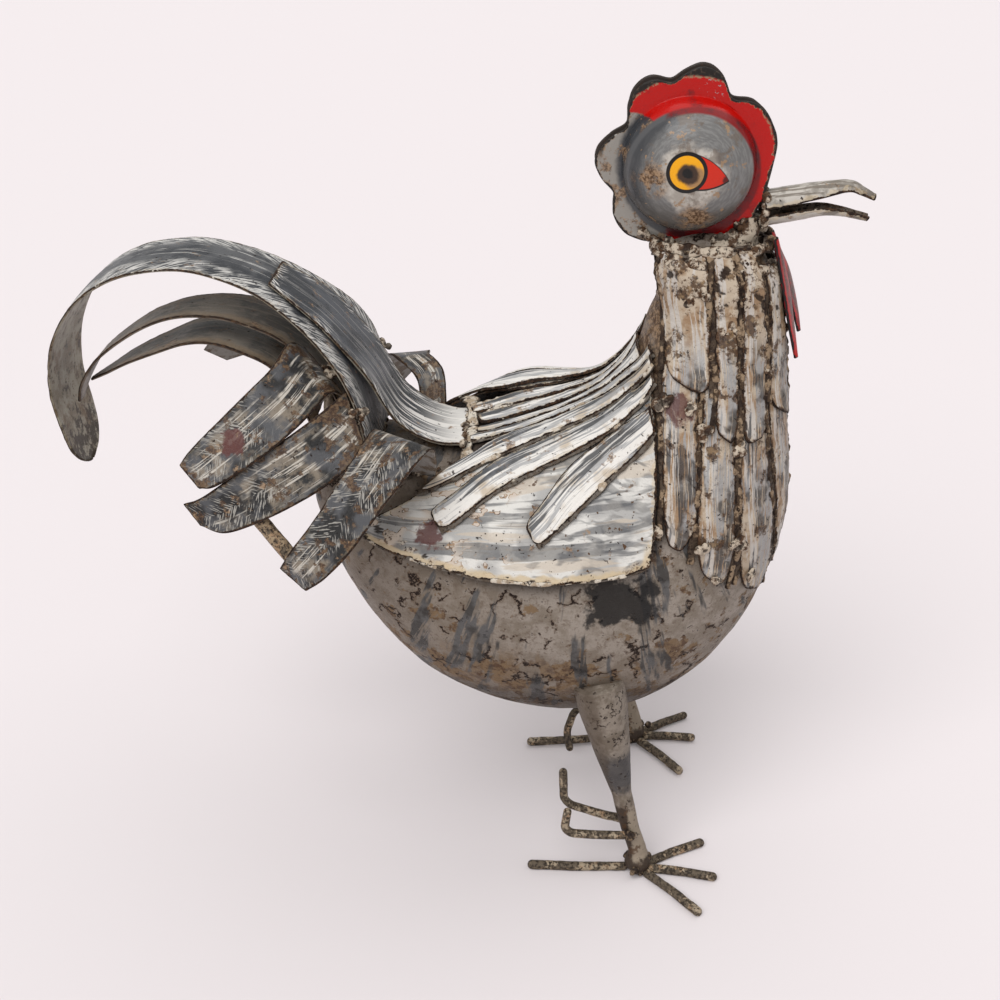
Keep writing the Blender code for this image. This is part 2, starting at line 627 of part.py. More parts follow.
rounded_bar("spur_left", [(FOOT_X - 0.012, FAR_INNER, 0.050), (FOOT_X - 0.032, FAR_INNER - 0.006, 0.0465),
                          (FOOT_X - 0.045, FAR_INNER - 0.013, 0.038),
                          (FOOT_X - 0.0495, FAR_INNER - 0.018, 0.024),
                          (FOOT_X - 0.0465, FAR_INNER - 0.021, 0.009)], SPUR_BAR, round_start=True)

bar("tail_brace", [(-0.1075, -0.0875, 0.2815), (-0.078, -0.100, 0.250)], [BRACE_BAR / 2] * 2)
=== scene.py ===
"""The looks of the scrap metal rooster: worn sheet, weld lumps and hand painted feathers.

Lengths are metres. The shell, strips and bands follow the CAD part's own formulas, drawn on much
finer grids, given their sheet thickness, and dented, pitted and crusted with repeatable noise.
"""
from math import radians

import bpy
import numpy as np
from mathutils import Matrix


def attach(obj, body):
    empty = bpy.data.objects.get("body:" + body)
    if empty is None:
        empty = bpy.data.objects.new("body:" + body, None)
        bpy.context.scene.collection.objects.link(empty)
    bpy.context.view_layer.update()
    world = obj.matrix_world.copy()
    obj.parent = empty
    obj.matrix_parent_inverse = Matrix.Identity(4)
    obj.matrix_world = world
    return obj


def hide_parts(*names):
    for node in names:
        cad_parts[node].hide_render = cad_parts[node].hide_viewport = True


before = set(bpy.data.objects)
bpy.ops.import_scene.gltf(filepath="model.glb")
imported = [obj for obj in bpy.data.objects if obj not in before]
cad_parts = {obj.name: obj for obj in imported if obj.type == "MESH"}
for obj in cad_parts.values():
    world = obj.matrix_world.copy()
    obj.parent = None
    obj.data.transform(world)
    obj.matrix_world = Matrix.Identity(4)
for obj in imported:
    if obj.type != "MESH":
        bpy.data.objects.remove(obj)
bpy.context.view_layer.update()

# Sheet and bar stock
SHEET = 0.0015
WELD_GAP = 0.0010
TOE_BAR = 0.0060
SPUR_BAR = 0.0056
SHANK_BAR = 0.0120
BRACE_BAR = 0.0088
# The drawing's zero lies this far behind the middle of the finished bird's length
DRAWN_BEHIND = 0.0031
# Size of a cell on the fine grids
CELL = 0.00145

# Body shell: turn is degrees below +X about the fan line, girth is degrees round the tube from
# the belly line, positive on the left, with 180 on the back line
FAN_X = 0.087 - DRAWN_BEHIND
FAN_Z = 0.411
BODY_SECTIONS = np.array([
    # turn, inner radius, outer radius, half width
    (0, 0.038, 0.094, 0.022), (9, 0.037, 0.104, 0.031), (22, 0.040, 0.117, 0.034),
    (40, 0.049, 0.151, 0.043), (55, 0.057, 0.211, 0.058), (68, 0.072, 0.268, 0.072),
    (82, 0.088, 0.309, 0.081), (97, 0.104, 0.314, 0.085), (110, 0.122, 0.300, 0.081),
    (122, 0.146, 0.272, 0.070), (132, 0.170, 0.246, 0.054), (138, 0.187, 0.228, 0.040),
    (141, 0.196, 0.217, 0.026),
])

HEAD_X = FAN_X + 0.051
HEAD_Z = FAN_Z + 0.046
HEAD_PLATE_SPACE = 0.010
DOME_RADIUS = 0.035
DOME_HEIGHT = 0.024
COMB_OUTLINE = [
    # degrees above +X, radius of the rim
    (0, 0.0455), (16, 0.0485), (30, 0.0490), (45, 0.0470), (60, 0.0415), (72, 0.0495),
    (84, 0.0525), (95, 0.0490), (104, 0.0455), (117, 0.0505), (128, 0.0500), (139, 0.0455),
    (150, 0.0400), (162, 0.0455), (178, 0.0515), (191, 0.0480), (202, 0.0440), (216, 0.0495),
    (230, 0.0515), (241, 0.0495), (255, 0.0460), (270, 0.0448), (285, 0.0460), (300, 0.0490),
    (315, 0.0480), (332, 0.0462), (346, 0.0450),
]
FOOT_X = 0.129 - DRAWN_BEHIND
FOOT_Y = 0.070


# Repeatable noise

def lattice(cells, seed):
    """A number from 0 to 1 for each whole numbered cell, from mixing its three counts as integers."""
    counts = cells.astype(np.int64).astype(np.uint32)
    mixed = (counts[..., 0] * np.uint32(73856093)) ^ (counts[..., 1] * np.uint32(19349663))
    mixed ^= (counts[..., 2] * np.uint32(83492791)) ^ np.uint32((seed * 2654435761) % 2**32)
    mixed ^= mixed >> np.uint32(13)
    mixed *= np.uint32(1274126177)
    mixed ^= mixed >> np.uint32(16)
    return mixed / 2.0**32


def lumps(places, size, seed, layers=3):
    """Sum of smoothed cell noise from -1 to 1, each layer half as large and half as strong."""
    total = np.zeros(places.shape[:-1])
    reach = 0.0
    for layer in range(layers):
        scaled = places * (2**layer / size)
        cell = np.floor(scaled)
        part = scaled - cell
        part = part * part * (3 - 2 * part)
        value = np.zeros(total.shape)
        for corner in range(8):
            step = np.array([corner & 1, corner >> 1 & 1, corner >> 2 & 1])
            weight = np.prod(np.where(step == 1, part, 1 - part), axis=-1)
            value += weight * lattice(cell + step, seed + layer)
        total += (value * 2 - 1) * 0.5**layer
        reach += 0.5**layer
    return total / reach


def between(value, low, high):
    """0 below low, 1 above high, and an even S curve in the middle."""
    share = np.clip((value - low) / (high - low), 0, 1)
    return share * share * (3 - 2 * share)


# Curves

def smooth(stations, values, at):
    """Cubic through values at uneven stations, with slopes taken from the neighbours."""
    stations = np.asarray(stations, float)
    values = np.asarray(values, float)
    slopes = np.gradient(values, stations, axis=0)
    at = np.clip(np.asarray(at, float), stations[0], stations[-1])
    left = np.clip(np.searchsorted(stations, at) - 1, 0, len(stations) - 2)
    step = stations[left + 1] - stations[left]
    t = (at - stations[left]) / step
    if values.ndim > 1:
        t = t[..., None]
        step = step[..., None]
    return ((2 * t**3 - 3 * t**2 + 1) * values[left] + (t**3 - 2 * t**2 + t) * step * slopes[left]
            + (3 * t**2 - 2 * t**3) * values[left + 1] + (t**3 - t**2) * step * slopes[left + 1])


def through(points, count):
    """Evenly numbered samples of a smooth line through a few control points."""
    points = np.asarray(points, float)
    return smooth(np.arange(len(points)), points, np.linspace(0, len(points) - 1, count))


def unit(vectors):
    return vectors / np.maximum(np.linalg.norm(vectors, axis=-1, keepdims=True), 1e-12)


def run_lengths(points):
    """Distance walked along a row of points, from 0 at its first."""
    steps = np.linalg.norm(np.diff(points, axis=0), axis=-1)
    return np.concatenate([[0], np.cumsum(steps)])


def grid_normals(points):
    """Unit normals of a grid: the way down the rows crossed with the way along the columns."""
    return unit(np.cross(np.gradient(points, axis=0), np.gradient(points, axis=1)))


# Meshes

def put_piece(name, vertices, faces, finish, slot, stands_for=(), sheet=None, **facts):
    """A finished piece at the origin; facts are one number for each vertex that its paint reads."""
    mesh = bpy.data.meshes.new(name)
    mesh.from_pydata(np.asarray(vertices), [], faces)
    if sheet is not None:
        corners = np.zeros(len(mesh.loops), int)
        mesh.loops.foreach_get("vertex_index", corners)
        layer = mesh.uv_layers.new(name="sheet")
        layer.data.foreach_set("uv", np.asarray(sheet, np.float32)[corners].ravel())
    for fact, numbers in facts.items():
        store = mesh.attributes.new(fact, "FLOAT", "POINT")
        store.data.foreach_set("value", np.broadcast_to(numbers, len(mesh.vertices)).astype(np.float32))
    mesh.materials.append(finish)
    mesh.shade_smooth()
    piece = bpy.data.objects.new(name, mesh)
    bpy.context.scene.collection.objects.link(piece)
    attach(piece, "root")
    if stands_for:
        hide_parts(*stands_for)
    return piece


def slab_order(outer, inner, sides, ends):
    """Grid values in the order of a slab's vertices: a ring for each row, then both end strips."""
    rings = np.concatenate([outer, sides[1][:, None], inner[:, ::-1], sides[0][:, None]], axis=1)
    return np.concatenate([rings.reshape(-1, outer.shape[-1]), ends[0][1:-1], ends[1][1:-1]])


def slab_faces(rows, columns):
    """Quads of a slab: each row's ring joined to the next, and a two cell strip over each end."""
    around = 2 * columns + 2
    row, place = np.meshgrid(np.arange(rows - 1), np.arange(around), indexing="ij")
    after = (place + 1) % around
    walls = np.stack([row * around + place, (row + 1) * around + place,
                      (row + 1) * around + after, row * around + after], -1).reshape(-1, 4)
    faces = [walls]
    step = np.arange(columns - 1)
    for end, first in ((0, 0), (1, (rows - 1) * around)):
        made = rows * around + end * (columns - 2) + np.arange(columns - 2)
        middle = np.concatenate([[first + 2 * columns + 1], made, [first + columns]])
        top = first + np.arange(columns)
        under = first + 2 * columns - np.arange(columns)
        for high, low in ((top, middle), (middle, under)):
            strip = np.stack([high[step], high[step + 1], low[step + 1], low[step]], -1)
            faces.append(strip[:, ::-1] if end else strip)
    return np.concatenate(faces)


def measured(middle):
    """Metres along and across a sheet's grid, and metres from its nearest edge."""
    along = run_lengths(middle[:, middle.shape[1] // 2])
    width = np.linalg.norm(np.diff(middle, axis=1), axis=-1)
    across = np.concatenate([np.zeros((len(middle), 1)), np.cumsum(width, axis=1)], axis=1)
    rim = np.minimum(np.minimum(across, across[:, -1:] - across),
                     np.minimum(along, along[-1] - along)[:, None])
    return along, across - across[:, -1:] / 2, rim


def slab(name, outer, inner, finish, slot, relief):
    """A closed sheet between two grids of points, with its cut edges rounded.

    The edge's middle stands out from both faces by a third of the thickness.  Its paint reads the
    UV map, which is metres along and across, and the facts rim (metres from the nearest edge),
    back (1 on the inner face) and relief.
    """
    middle = (outer + inner) / 2
    bulge = np.linalg.norm(outer - inner, axis=-1, keepdims=True) / 3
    left = middle[:, 0] + unit(middle[:, 0] - middle[:, 1]) * bulge[:, 0]
    right = middle[:, -1] + unit(middle[:, -1] - middle[:, -2]) * bulge[:, -1]
    start = middle[0] + unit(middle[0] - middle[1]) * bulge[0]
    end = middle[-1] + unit(middle[-1] - middle[-2]) * bulge[-1]
    vertices = slab_order(outer, inner, (left, right), (start, end))

    along, across, rim = measured(middle)
    grid = np.stack([np.broadcast_to(along[:, None], across.shape), across, rim], -1)
    places = slab_order(grid, grid, (grid[:, 0], grid[:, -1]), (grid[0], grid[-1]))
    front = np.stack([relief, np.zeros(across.shape)], -1)
    behind = np.broadcast_to([0.0, 1.0], front.shape)
    edge = front + [0, 0.5]
    worn = slab_order(front, behind, (edge[:, 0], edge[:, -1]), (edge[0], edge[-1]))
    return put_piece(name, vertices, slab_faces(*outer.shape[:2]).tolist(), finish, slot, (name,),
                     sheet=places[:, :2], rim=places[:, 2], relief=worn[:, 0], back=worn[:, 1])


def full_turn(count):
    """The angles of a ring of count points."""
    return np.arange(count) * 2 * np.pi / count


def tube_faces(rows, around):
    """Quads of a tube of rings, closed by a fan from a pole at each end; poles come last."""
    row, place = np.meshgrid(np.arange(rows - 1), np.arange(around), indexing="ij")
    after = (place + 1) % around
    walls = np.stack([row * around + place, (row + 1) * around + place,
                      (row + 1) * around + after, row * around + after], -1).reshape(-1, 4).tolist()
    ring = np.arange(around)
    turned = (ring + 1) % around
    pole = rows * around
    walls += np.stack([np.full(around, pole), ring, turned], -1).tolist()
    last = (rows - 1) * around
    walls += np.stack([np.full(around, pole + 1), last + turned, last + ring], -1).tolist()
    return walls


def tube_points(rings):
    poles = np.stack([rings[0].mean(0), rings[-1].mean(0)])
    return np.concatenate([rings.reshape(-1, 3), poles])


# Body shell

def skin(turn, girth, lift=0.0):
    """Points of the shell at turn and girth, moved outward by lift.

    Each section is an ellipse in the plane that hangs from the fan line at that turn.
    """
    turn = np.asarray(turn, float)
    girth = np.asarray(girth, float)

    def plain(turn, girth):
        inner, outer, half = np.moveaxis(smooth(BODY_SECTIONS[:, 0], BODY_SECTIONS[:, 1:], turn), -1, 0)
        around = np.radians(girth)
        radius = (inner + outer) / 2 + (outer - inner) / 2 * np.cos(around)
        down = np.radians(turn)
        return np.stack([FAN_X + radius * np.cos(down), half * np.sin(around),
                         FAN_Z - radius * np.sin(down)], -1)

    nudge = 0.05
    along = plain(turn + nudge, girth) - plain(turn - nudge, girth)
    across = plain(turn, girth + nudge) - plain(turn, girth - nudge)
    normal = unit(np.cross(along, across))
    return plain(turn, girth) + normal * np.asarray(lift)[..., None]


def weathered(points, normals, seed, rough, dent=0.0005, crust=0.0006):
    """Outer face with slow dents, crusty lumps and pits; rough, 0 to 1, says how much of them.

    The relief that comes back is 1 on a lump and -1 in a pit.
    """
    slow = lumps(points, 0.028, seed, 2)
    grain = lumps(points, 0.0045, seed + 11, 3)
    relief = rough * (between(grain, 0.05, 0.45) - between(-grain, 0.15, 0.50))
    return points + normals * (slow * dent + relief * crust)[..., None], relief


def patch(edge_low, edge_high, rows, columns, inset=0.0, tip=0.0, blunt=0.15, ragged=0.0, seed=0):
    """Turn and girth of a grid between two edges, each a few (turn, girth) points.

    The sides draw in by inset metres, unevenly by ragged, and the last share of the length,
    tip, rounds off.
    """
    low = through(edge_low, rows)
    high = through(edge_high, rows)
    middle = (low + high) / 2
    half = (high - low) / 2
    length = np.linspace(0, 1, rows)
    metres = np.linalg.norm(skin(*high.T) - skin(*low.T), axis=-1) / 2
    across = np.linspace(-1, 1, columns)
    uneven = np.stack([lumps(skin(*edge.T), 0.006, seed + extra, 3)
                       for edge, extra in ((low, 3), (high, 5))], -1)
    drawn_in = inset + ragged * uneven
    drawn_in = np.where(across < 0, drawn_in[:, :1], drawn_in[:, 1:])
    width = np.clip((metres[:, None] - drawn_in) / metres[:, None], 0.2, 1.1)
    if tip:
        past = np.clip((length - 1 + tip) / tip, 0, 1)
        width = width * (blunt + (1 - blunt) * np.sqrt(1 - 0.97 * past**2))[:, None]
    grid = middle[:, None] + half[:, None] * (width * across)[..., None]
    return grid[..., 0], grid[..., 1]


def on_shell(name, edge_low, edge_high, side, lift, finish, slot, seed, crown=0.0008, rough=0.25,
             edge_rough=1.0, rough_at=None, crust=0.0006, dent=0.0005, **shape):
    """A sheet piece that follows the shell at a height of lift; side is -1 right, +1 left.

    Its middle stands off by crown, and the crust grows toward its edges.
    """
    ends = skin(*through(edge_low, 30).T), skin(*through(edge_high, 30).T)
    rows = int(run_lengths((ends[0] + ends[1]) / 2)[-1] / CELL) + 2
    columns = max(int(np.linalg.norm(ends[0] - ends[1], axis=-1).max() / CELL), 6) + 1
    turn, girth = patch(edge_low, edge_high, rows, columns, seed=seed, **shape)
    if side < 0:
        turn, girth = turn[:, ::-1], -girth[:, ::-1]
    height = lift(turn, girth) if callable(lift) else np.full(turn.shape, lift)
    across = np.linspace(-1, 1, columns)
    height = height + crown * (1 - across**2)
    inner = skin(turn, girth, height)
    outer = skin(turn, girth, height + SHEET)
    rim = measured(inner)[2]
    amount = np.maximum(rough, edge_rough * between(rim, 0.0032, 0.0006))
    if rough_at is not None:
        amount = np.clip(amount + rough_at(turn, girth), 0, 1.6)
    outer, relief = weathered(outer, grid_normals(outer), seed, amount, dent, crust)
    return slab(name, outer, inner, finish, slot, relief)


# Wing plates: how far the free lower edge stands off the shell, and where the flare starts
WING_FLARE = 0.008
WING_FLARE_GIRTH = 150
WING_EDGE_GIRTH = 100
# The sheets over the left of the back bow up, most at this turn, from the back line to this girth
LEFT_BOW_RISE = 0.018
LEFT_BOW_TURN = 107
LEFT_BOW_SPREAD = 17
LEFT_BOW_GIRTH = 120


def back_lift(turn, girth):
    """Height of the strips on the back: welded down, but the left ones bow up.

    The bow is a bell along the turn times half a sine wave across.
    """
    bow = np.exp(-((turn - LEFT_BOW_TURN) / LEFT_BOW_SPREAD)**2)
    across = np.clip((180 - girth) / (180 - LEFT_BOW_GIRTH), 0, 1) * (girth > 0)
    return WELD_GAP + LEFT_BOW_RISE * bow * np.sin(np.pi * across)


def wing_lift(turn, girth):
    """Height of the wing plate: the back's, and flared at the free lower edge by a square law."""
    reach = WING_FLARE_GIRTH - WING_EDGE_GIRTH
    share = np.clip((WING_FLARE_GIRTH - np.abs(girth)) / reach, 0, 1)
    return back_lift(turn, girth) + WING_FLARE * share**2


def strip_lift(turn, girth):
    return wing_lift(turn, girth) + SHEET + WELD_GAP


# Shader nodes

class Brush:
    """Adds nodes to one tree and wires them; each call gives back the socket that it made."""

    def __init__(self, tree):
        self.tree = tree

    def node(self, kind, wires, out=0, **settings):
        made = self.tree.nodes.new(kind)
        for label, value in settings.items():
            setattr(made, label, value)
        for place, value in wires.items():
            if isinstance(value, bpy.types.NodeSocket):
                self.tree.links.new(value, made.inputs[place])
            else:
                made.inputs[place].default_value = value
        return made.outputs[out]

    def math(self, kind, *terms):
        return self.node("ShaderNodeMath", dict(enumerate(terms)), operation=kind)

    def vector(self, kind, *terms, out=0):
        return self.node("ShaderNodeVectorMath", dict(enumerate(terms)), out, operation=kind)

    def step(self, value, low, high):
        return self.node("ShaderNodeMapRange", {0: value, 1: low, 2: high, 3: 0.0, 4: 1.0},
                         interpolation_type="SMOOTHSTEP")

    def times(self, first, second):
        return self.math("MULTIPLY", first, second)

    def over(self, first, second):
        return self.math("DIVIDE", first, second)

    def plus(self, first, second):
        return self.math("ADD", first, second)

    def minus(self, first, second):
        return self.math("SUBTRACT", first, second)

    def both(self, *masks):
        total = masks[0]
        for mask in masks[1:]:
            total = self.times(total, mask)
        return total

    def either(self, first, second):
        return self.math("MAXIMUM", first, second)

    def without(self, mask):
        return self.minus(1.0, mask)

    def coat(self, below, above, *masks):
        """Colour above laid over colour below where all the masks are."""
        return self.node("ShaderNodeMix", {0: self.both(*masks), 6: below, 7: above}, 2, data_type="RGBA")

    def blend(self, below, above, mask):
        return self.node("ShaderNodeMix", {0: mask, 2: below, 3: above}, 0, data_type="FLOAT")

    def noise(self, place, size, detail=3.0, rough=0.55, out=0):
        return self.node("ShaderNodeTexNoise", {"Vector": place, "Scale": 1 / size, "Detail": detail,
                                                "Roughness": rough}, out)

    def grain(self, place, size=0.0022):
        """The finest speckle of old paint and steel."""
        return self.noise(place, size, 4.0, 0.7)

    def patches(self, low, high, place, size, *character):
        """Mask that rises from 0 to 1 while a noise goes from low to high."""
        return self.step(self.noise(place, size, *character), low, high)

    def scaled(self, place, sizes):
        return self.vector("MULTIPLY", place, tuple(1 / size for size in sizes))

    def resized(self, vector, factor):
        return self.node("ShaderNodeVectorMath", {0: vector, 3: factor}, operation="SCALE")

    def away(self, place, spot):
        """Distance between two places."""
        return self.vector("DISTANCE", place, spot, out=1)

    def moved(self, place, way):
        return self.vector("ADD", place, way)

    def fact(self, name):
        return self.node("ShaderNodeAttribute", {}, 2, attribute_type="GEOMETRY", attribute_name=name)

    def sheet(self):
        return self.node("ShaderNodeUVMap", {}, uv_map="sheet")

    def here(self):
        return self.node("ShaderNodeTexCoord", {}, 3)

    def parts(self, vector):
        split = self.tree.nodes.new("ShaderNodeSeparateXYZ")
        self.tree.links.new(vector, split.inputs[0])
        return split.outputs

    def joined(self, x, y, z=0.0):
        return self.node("ShaderNodeCombineXYZ", {0: x, 1: y, 2: z})

    def use(self, effect, *values):
        """Places a shared effect with its own values; gives back all its masks."""
        made = self.tree.nodes.new("ShaderNodeGroup")
        made.node_tree = effect
        for place, value in enumerate(values):
            if isinstance(value, bpy.types.NodeSocket):
                self.tree.links.new(value, made.inputs[place])
            else:
                made.inputs[place].default_value = value
        return made.outputs[0] if len(made.outputs) == 1 else list(made.outputs)


def effect(name, takes, gives, recipe):
    """A shared node group; takes and gives name its sockets, and a name with a * is a vector."""
    tree = bpy.data.node_groups.new(name, "ShaderNodeTree")
    for label in takes:
        kind = "NodeSocketVector" if label.endswith("*") else "NodeSocketFloat"
        tree.interface.new_socket(label.rstrip("*"), in_out="INPUT", socket_type=kind)
    for label in gives:
        tree.interface.new_socket(label, in_out="OUTPUT", socket_type="NodeSocketFloat")
    source = tree.nodes.new("NodeGroupInput")
    drain = tree.nodes.new("NodeGroupOutput")
    results = recipe(Brush(tree), *list(source.outputs)[:len(takes)])
    for place, result in enumerate(results if isinstance(results, tuple) else (results,)):
        tree.links.new(result, drain.inputs[place])
    return tree


def threshold(brush, value, cover):
    """Mask of the share cover of a noise, whose values crowd round a half."""
    edge = brush.minus(0.70, brush.times(cover, 0.40))
    return brush.step(value, edge, brush.plus(edge, 0.035))


def strokes_recipe(brush, place, length, width, cover):
    """Long thin patches: noise squeezed to width across and length along, broken by a slower one."""
    narrow = brush.over(1.0, width)
    squeeze = brush.joined(brush.over(1.0, length), narrow, narrow)
    fine = brush.noise(brush.vector("MULTIPLY", place, squeeze), 1.0, 3.0, 0.6)
    broad = brush.noise(brush.vector("MULTIPLY", place, squeeze), 4.0, 2.0, 0.5)
    return threshold(brush, brush.blend(fine, broad, 0.45), cover)


def barbs_recipe(brush, sheet, slant, spacing, cover):
    """Strokes that leave the spine toward the tip at a slant, mirrored about the spine."""
    along, across = brush.parts(sheet)[:2]
    out = brush.math("ABSOLUTE", across)
    rise, run = brush.math("SINE", slant), brush.math("COSINE", slant)
    beside = brush.minus(brush.times(along, rise), brush.times(out, run))
    down = brush.plus(brush.times(along, run), brush.times(out, rise))
    half = brush.times(brush.math("SIGN", across), 5.0)
    place = brush.joined(brush.over(beside, spacing),
                         brush.over(down, brush.times(spacing, 9.0)), half)
    fine = brush.noise(place, 1.0, 1.0, 0.5)
    broad = brush.noise(place, 5.0, 2.0)
    return threshold(brush, brush.blend(fine, broad, 0.25), cover)


def edge_wear_recipe(brush, rim, reach, place):
    """Bare metal within an uneven reach of a cut edge."""
    uneven = brush.noise(place, 0.005, 4.0, 0.65)
    pushed = brush.minus(rim, brush.times(reach, brush.math("MULTIPLY_ADD", uneven, 5.0, -2.0)))
    return brush.step(pushed, brush.times(reach, 0.4), 0.0)


def cracks_recipe(brush, place, size, width, cover):
    """Edges of warped Voronoi cells, broken into short pieces by a patchy mask."""
    wobble = brush.resized(brush.noise(place, 0.007, 4.0, 0.65, out=1), 0.016)
    scale = brush.over(1.0, size)
    edge = brush.node("ShaderNodeTexVoronoi", {"Vector": brush.vector("ADD", place, wobble),
                                               "Scale": scale}, 0, feature="DISTANCE_TO_EDGE")
    thin = brush.step(edge, width, brush.times(width, 0.4))
    return brush.both(thin, threshold(brush, brush.noise(place, 0.014), cover))


STROKES = effect("brush_strokes", ["Place*", "Length", "Width", "Cover"], ["Mask"], strokes_recipe)
BARBS = effect("feather_barbs", ["Sheet*", "Slant", "Spacing", "Cover"], ["Mask"], barbs_recipe)
EDGE_WEAR = effect("edge_wear", ["Rim", "Reach", "Place*"], ["Mask"], edge_wear_recipe)
CRACKS = effect("paint_cracks", ["Place*", "Size", "Width", "Cover"], ["Mask"], cracks_recipe)

# Colours that many pieces share
WHITE = (0.70, 0.67, 0.63, 1)
CREAM = (0.50, 0.42, 0.33, 1)
BUTTER = (0.53, 0.42, 0.27, 1)
TAN = (0.30, 0.195, 0.115, 1)
TAUPE = (0.195, 0.160, 0.126, 1)
ROSE_GREY = (0.285, 0.245, 0.208, 1)
LIGHT_GREY = (0.30, 0.30, 0.305, 1)
GREY = (0.098, 0.102, 0.113, 1)
DARK_GREY = (0.036, 0.038, 0.043, 1)
BLACK = (0.010, 0.009, 0.009, 1)
OCHRE = (0.20, 0.125, 0.060, 1)
BROWN = (0.080, 0.041, 0.020, 1)
DARK_RUST = (0.018, 0.010, 0.007, 1)
MAROON = (0.080, 0.014, 0.016, 1)
OLD_RED = (0.090, 0.026, 0.022, 1)
DARK_RED = (0.20, 0.006, 0.007, 1)
RED = (0.43, 0.004, 0.002, 1)
AMBER = (0.80, 0.36, 0.008, 1)
# Wing plate
SMOKED_WHITE = (0.38, 0.37, 0.355, 1)
SILVER = (0.62, 0.60, 0.565, 1)
BAND_GREY = (0.190, 0.182, 0.172, 1)
BAND_DARK = (0.088, 0.089, 0.094, 1)
FLAKE_PALE = (0.52, 0.44, 0.37, 1)
# Neck
SAND = (0.46, 0.375, 0.285, 1)
CHALK = (0.53, 0.50, 0.47, 1)
# Tail bands
SICKLE_DARK = (0.092, 0.093, 0.097, 1)
SICKLE_BARB = (0.58, 0.56, 0.53, 1)
OVERLAY_DARK = (0.076, 0.080, 0.090, 1)
DULL_OLIVE = (0.34, 0.31, 0.245, 1)
DULL_TAUPE = (0.215, 0.180, 0.130, 1)
STAIN_BROWN = (0.15, 0.095, 0.050, 1)
SOOT_BROWN = (0.040, 0.028, 0.018, 1)
WORN_GREY = (0.205, 0.180, 0.150, 1)
WORN_DARK = (0.092, 0.084, 0.074, 1)
WORN_CREAM = (0.36, 0.30, 0.23, 1)
EDGE_TAN = (0.23, 0.165, 0.105, 1)
EDGE_BROWN = (0.065, 0.040, 0.025, 1)
DULL_BROWN = (0.085, 0.060, 0.042, 1)
# Coverts and saddle strips
COVERT_GREY = (0.075, 0.075, 0.080, 1)
COVERT_BLACK = (0.020, 0.019, 0.019, 1)
CLOUDY_TAN = (0.25, 0.205, 0.155, 1)
STREAK_CREAM = (0.50, 0.46, 0.405, 1)
BARB_GREY = (0.33, 0.31, 0.28, 1)
ROOT_RUST = (0.13, 0.078, 0.042, 1)
ROOT_DARK = (0.050, 0.026, 0.016, 1)
DULL_CREAM = (0.27, 0.255, 0.235, 1)
DULL_RUST = (0.13, 0.095, 0.065, 1)
# Belly
SPECK_BROWN = (0.13, 0.095, 0.070, 1)
DARKENING_BROWN = (0.120, 0.088, 0.062, 1)
MOTTLE = (0.175, 0.112, 0.060, 1)
LEAF_GREY = (0.085, 0.083, 0.084, 1)
LEAF_DARK = (0.036, 0.034, 0.033, 1)
# Head and wattles
CHEEK_GREY = (0.150, 0.146, 0.142, 1)
CHEEK_LIGHT = (0.200, 0.196, 0.190, 1)
CHEEK_SHADE = (0.085, 0.075, 0.065, 1)
FACE_CREAM = (0.34, 0.305, 0.265, 1)
FACE_WHITE = (0.50, 0.46, 0.41, 1)
FLAME_RED = (0.55, 0.022, 0.008, 1)
PATINA = (0.22, 0.145, 0.10, 1)
PUPIL_BROWN = (0.050, 0.028, 0.018, 1)
LOBE_GREY = (0.27, 0.25, 0.225, 1)
WALL_GREY = (0.085, 0.085, 0.088, 1)
BARE_BLACK = (0.014, 0.011, 0.009, 1)
BARE_BROWN = (0.060, 0.042, 0.030, 1)
BACK_BROWN = (0.040, 0.030, 0.025, 1)
WATTLE_BROWN = (0.085, 0.055, 0.042, 1)
# Beak
BEAK_GREY = (0.25, 0.225, 0.195, 1)
BEAK_CREAM = (0.47, 0.435, 0.39, 1)
BEAK_STREAK = (0.15, 0.125, 0.10, 1)
BEAK_TIP = (0.075, 0.055, 0.04, 1)
# Legs and bars
BAR_BROWN = (0.120, 0.092, 0.064, 1)
BAR_DARK = (0.028, 0.020, 0.014, 1)
BAR_CREAM = (0.34, 0.27, 0.19, 1)
BRACE_TAN = (0.30, 0.22, 0.14, 1)
THIGH_DARK = (0.150, 0.120, 0.092, 1)
THIGH_TAUPE = (0.245, 0.205, 0.168, 1)
THIGH_BAND = (0.042, 0.042, 0.047, 1)
THIGH_SHADE = (0.070, 0.048, 0.032, 1)
SHANK_BROWN = (0.050, 0.034, 0.024, 1)
SHANK_CREAM = (0.30, 0.245, 0.185, 1)
# Welds
WELD_TAN = (0.27, 0.19, 0.12, 1)
WELD_BROWN = (0.060, 0.036, 0.020, 1)
WELD_SAND = (0.56, 0.50, 0.42, 1)
WELD_CLAY = (0.36, 0.28, 0.20, 1)
WELD_UMBER = (0.20, 0.14, 0.09, 1)


SHEEN = 0.22
COAT_ROUGHNESS = 0.12


def finish(name, recipe, bump=0.0006, coat=0.0):
    """A Principled material; recipe gives colour, roughness and height from a Brush."""
    made = bpy.data.materials.new(name)
    made.use_nodes = True
    tree = made.node_tree
    shader = tree.nodes["Principled BSDF"]
    brush = Brush(tree)
    colour, roughness, height = recipe(brush)
    tree.links.new(colour, shader.inputs["Base Color"])
    tree.links.new(roughness, shader.inputs["Roughness"])
    shader.inputs["Coat Weight"].default_value = coat
    shader.inputs["Coat Roughness"].default_value = COAT_ROUGHNESS
    shader.inputs["Specular IOR Level"].default_value = SHEEN
    normal = brush.node("ShaderNodeBump", {"Height": height, "Strength": 1.0, "Distance": bump})
    tree.links.new(normal, shader.inputs["Normal"])
    return made


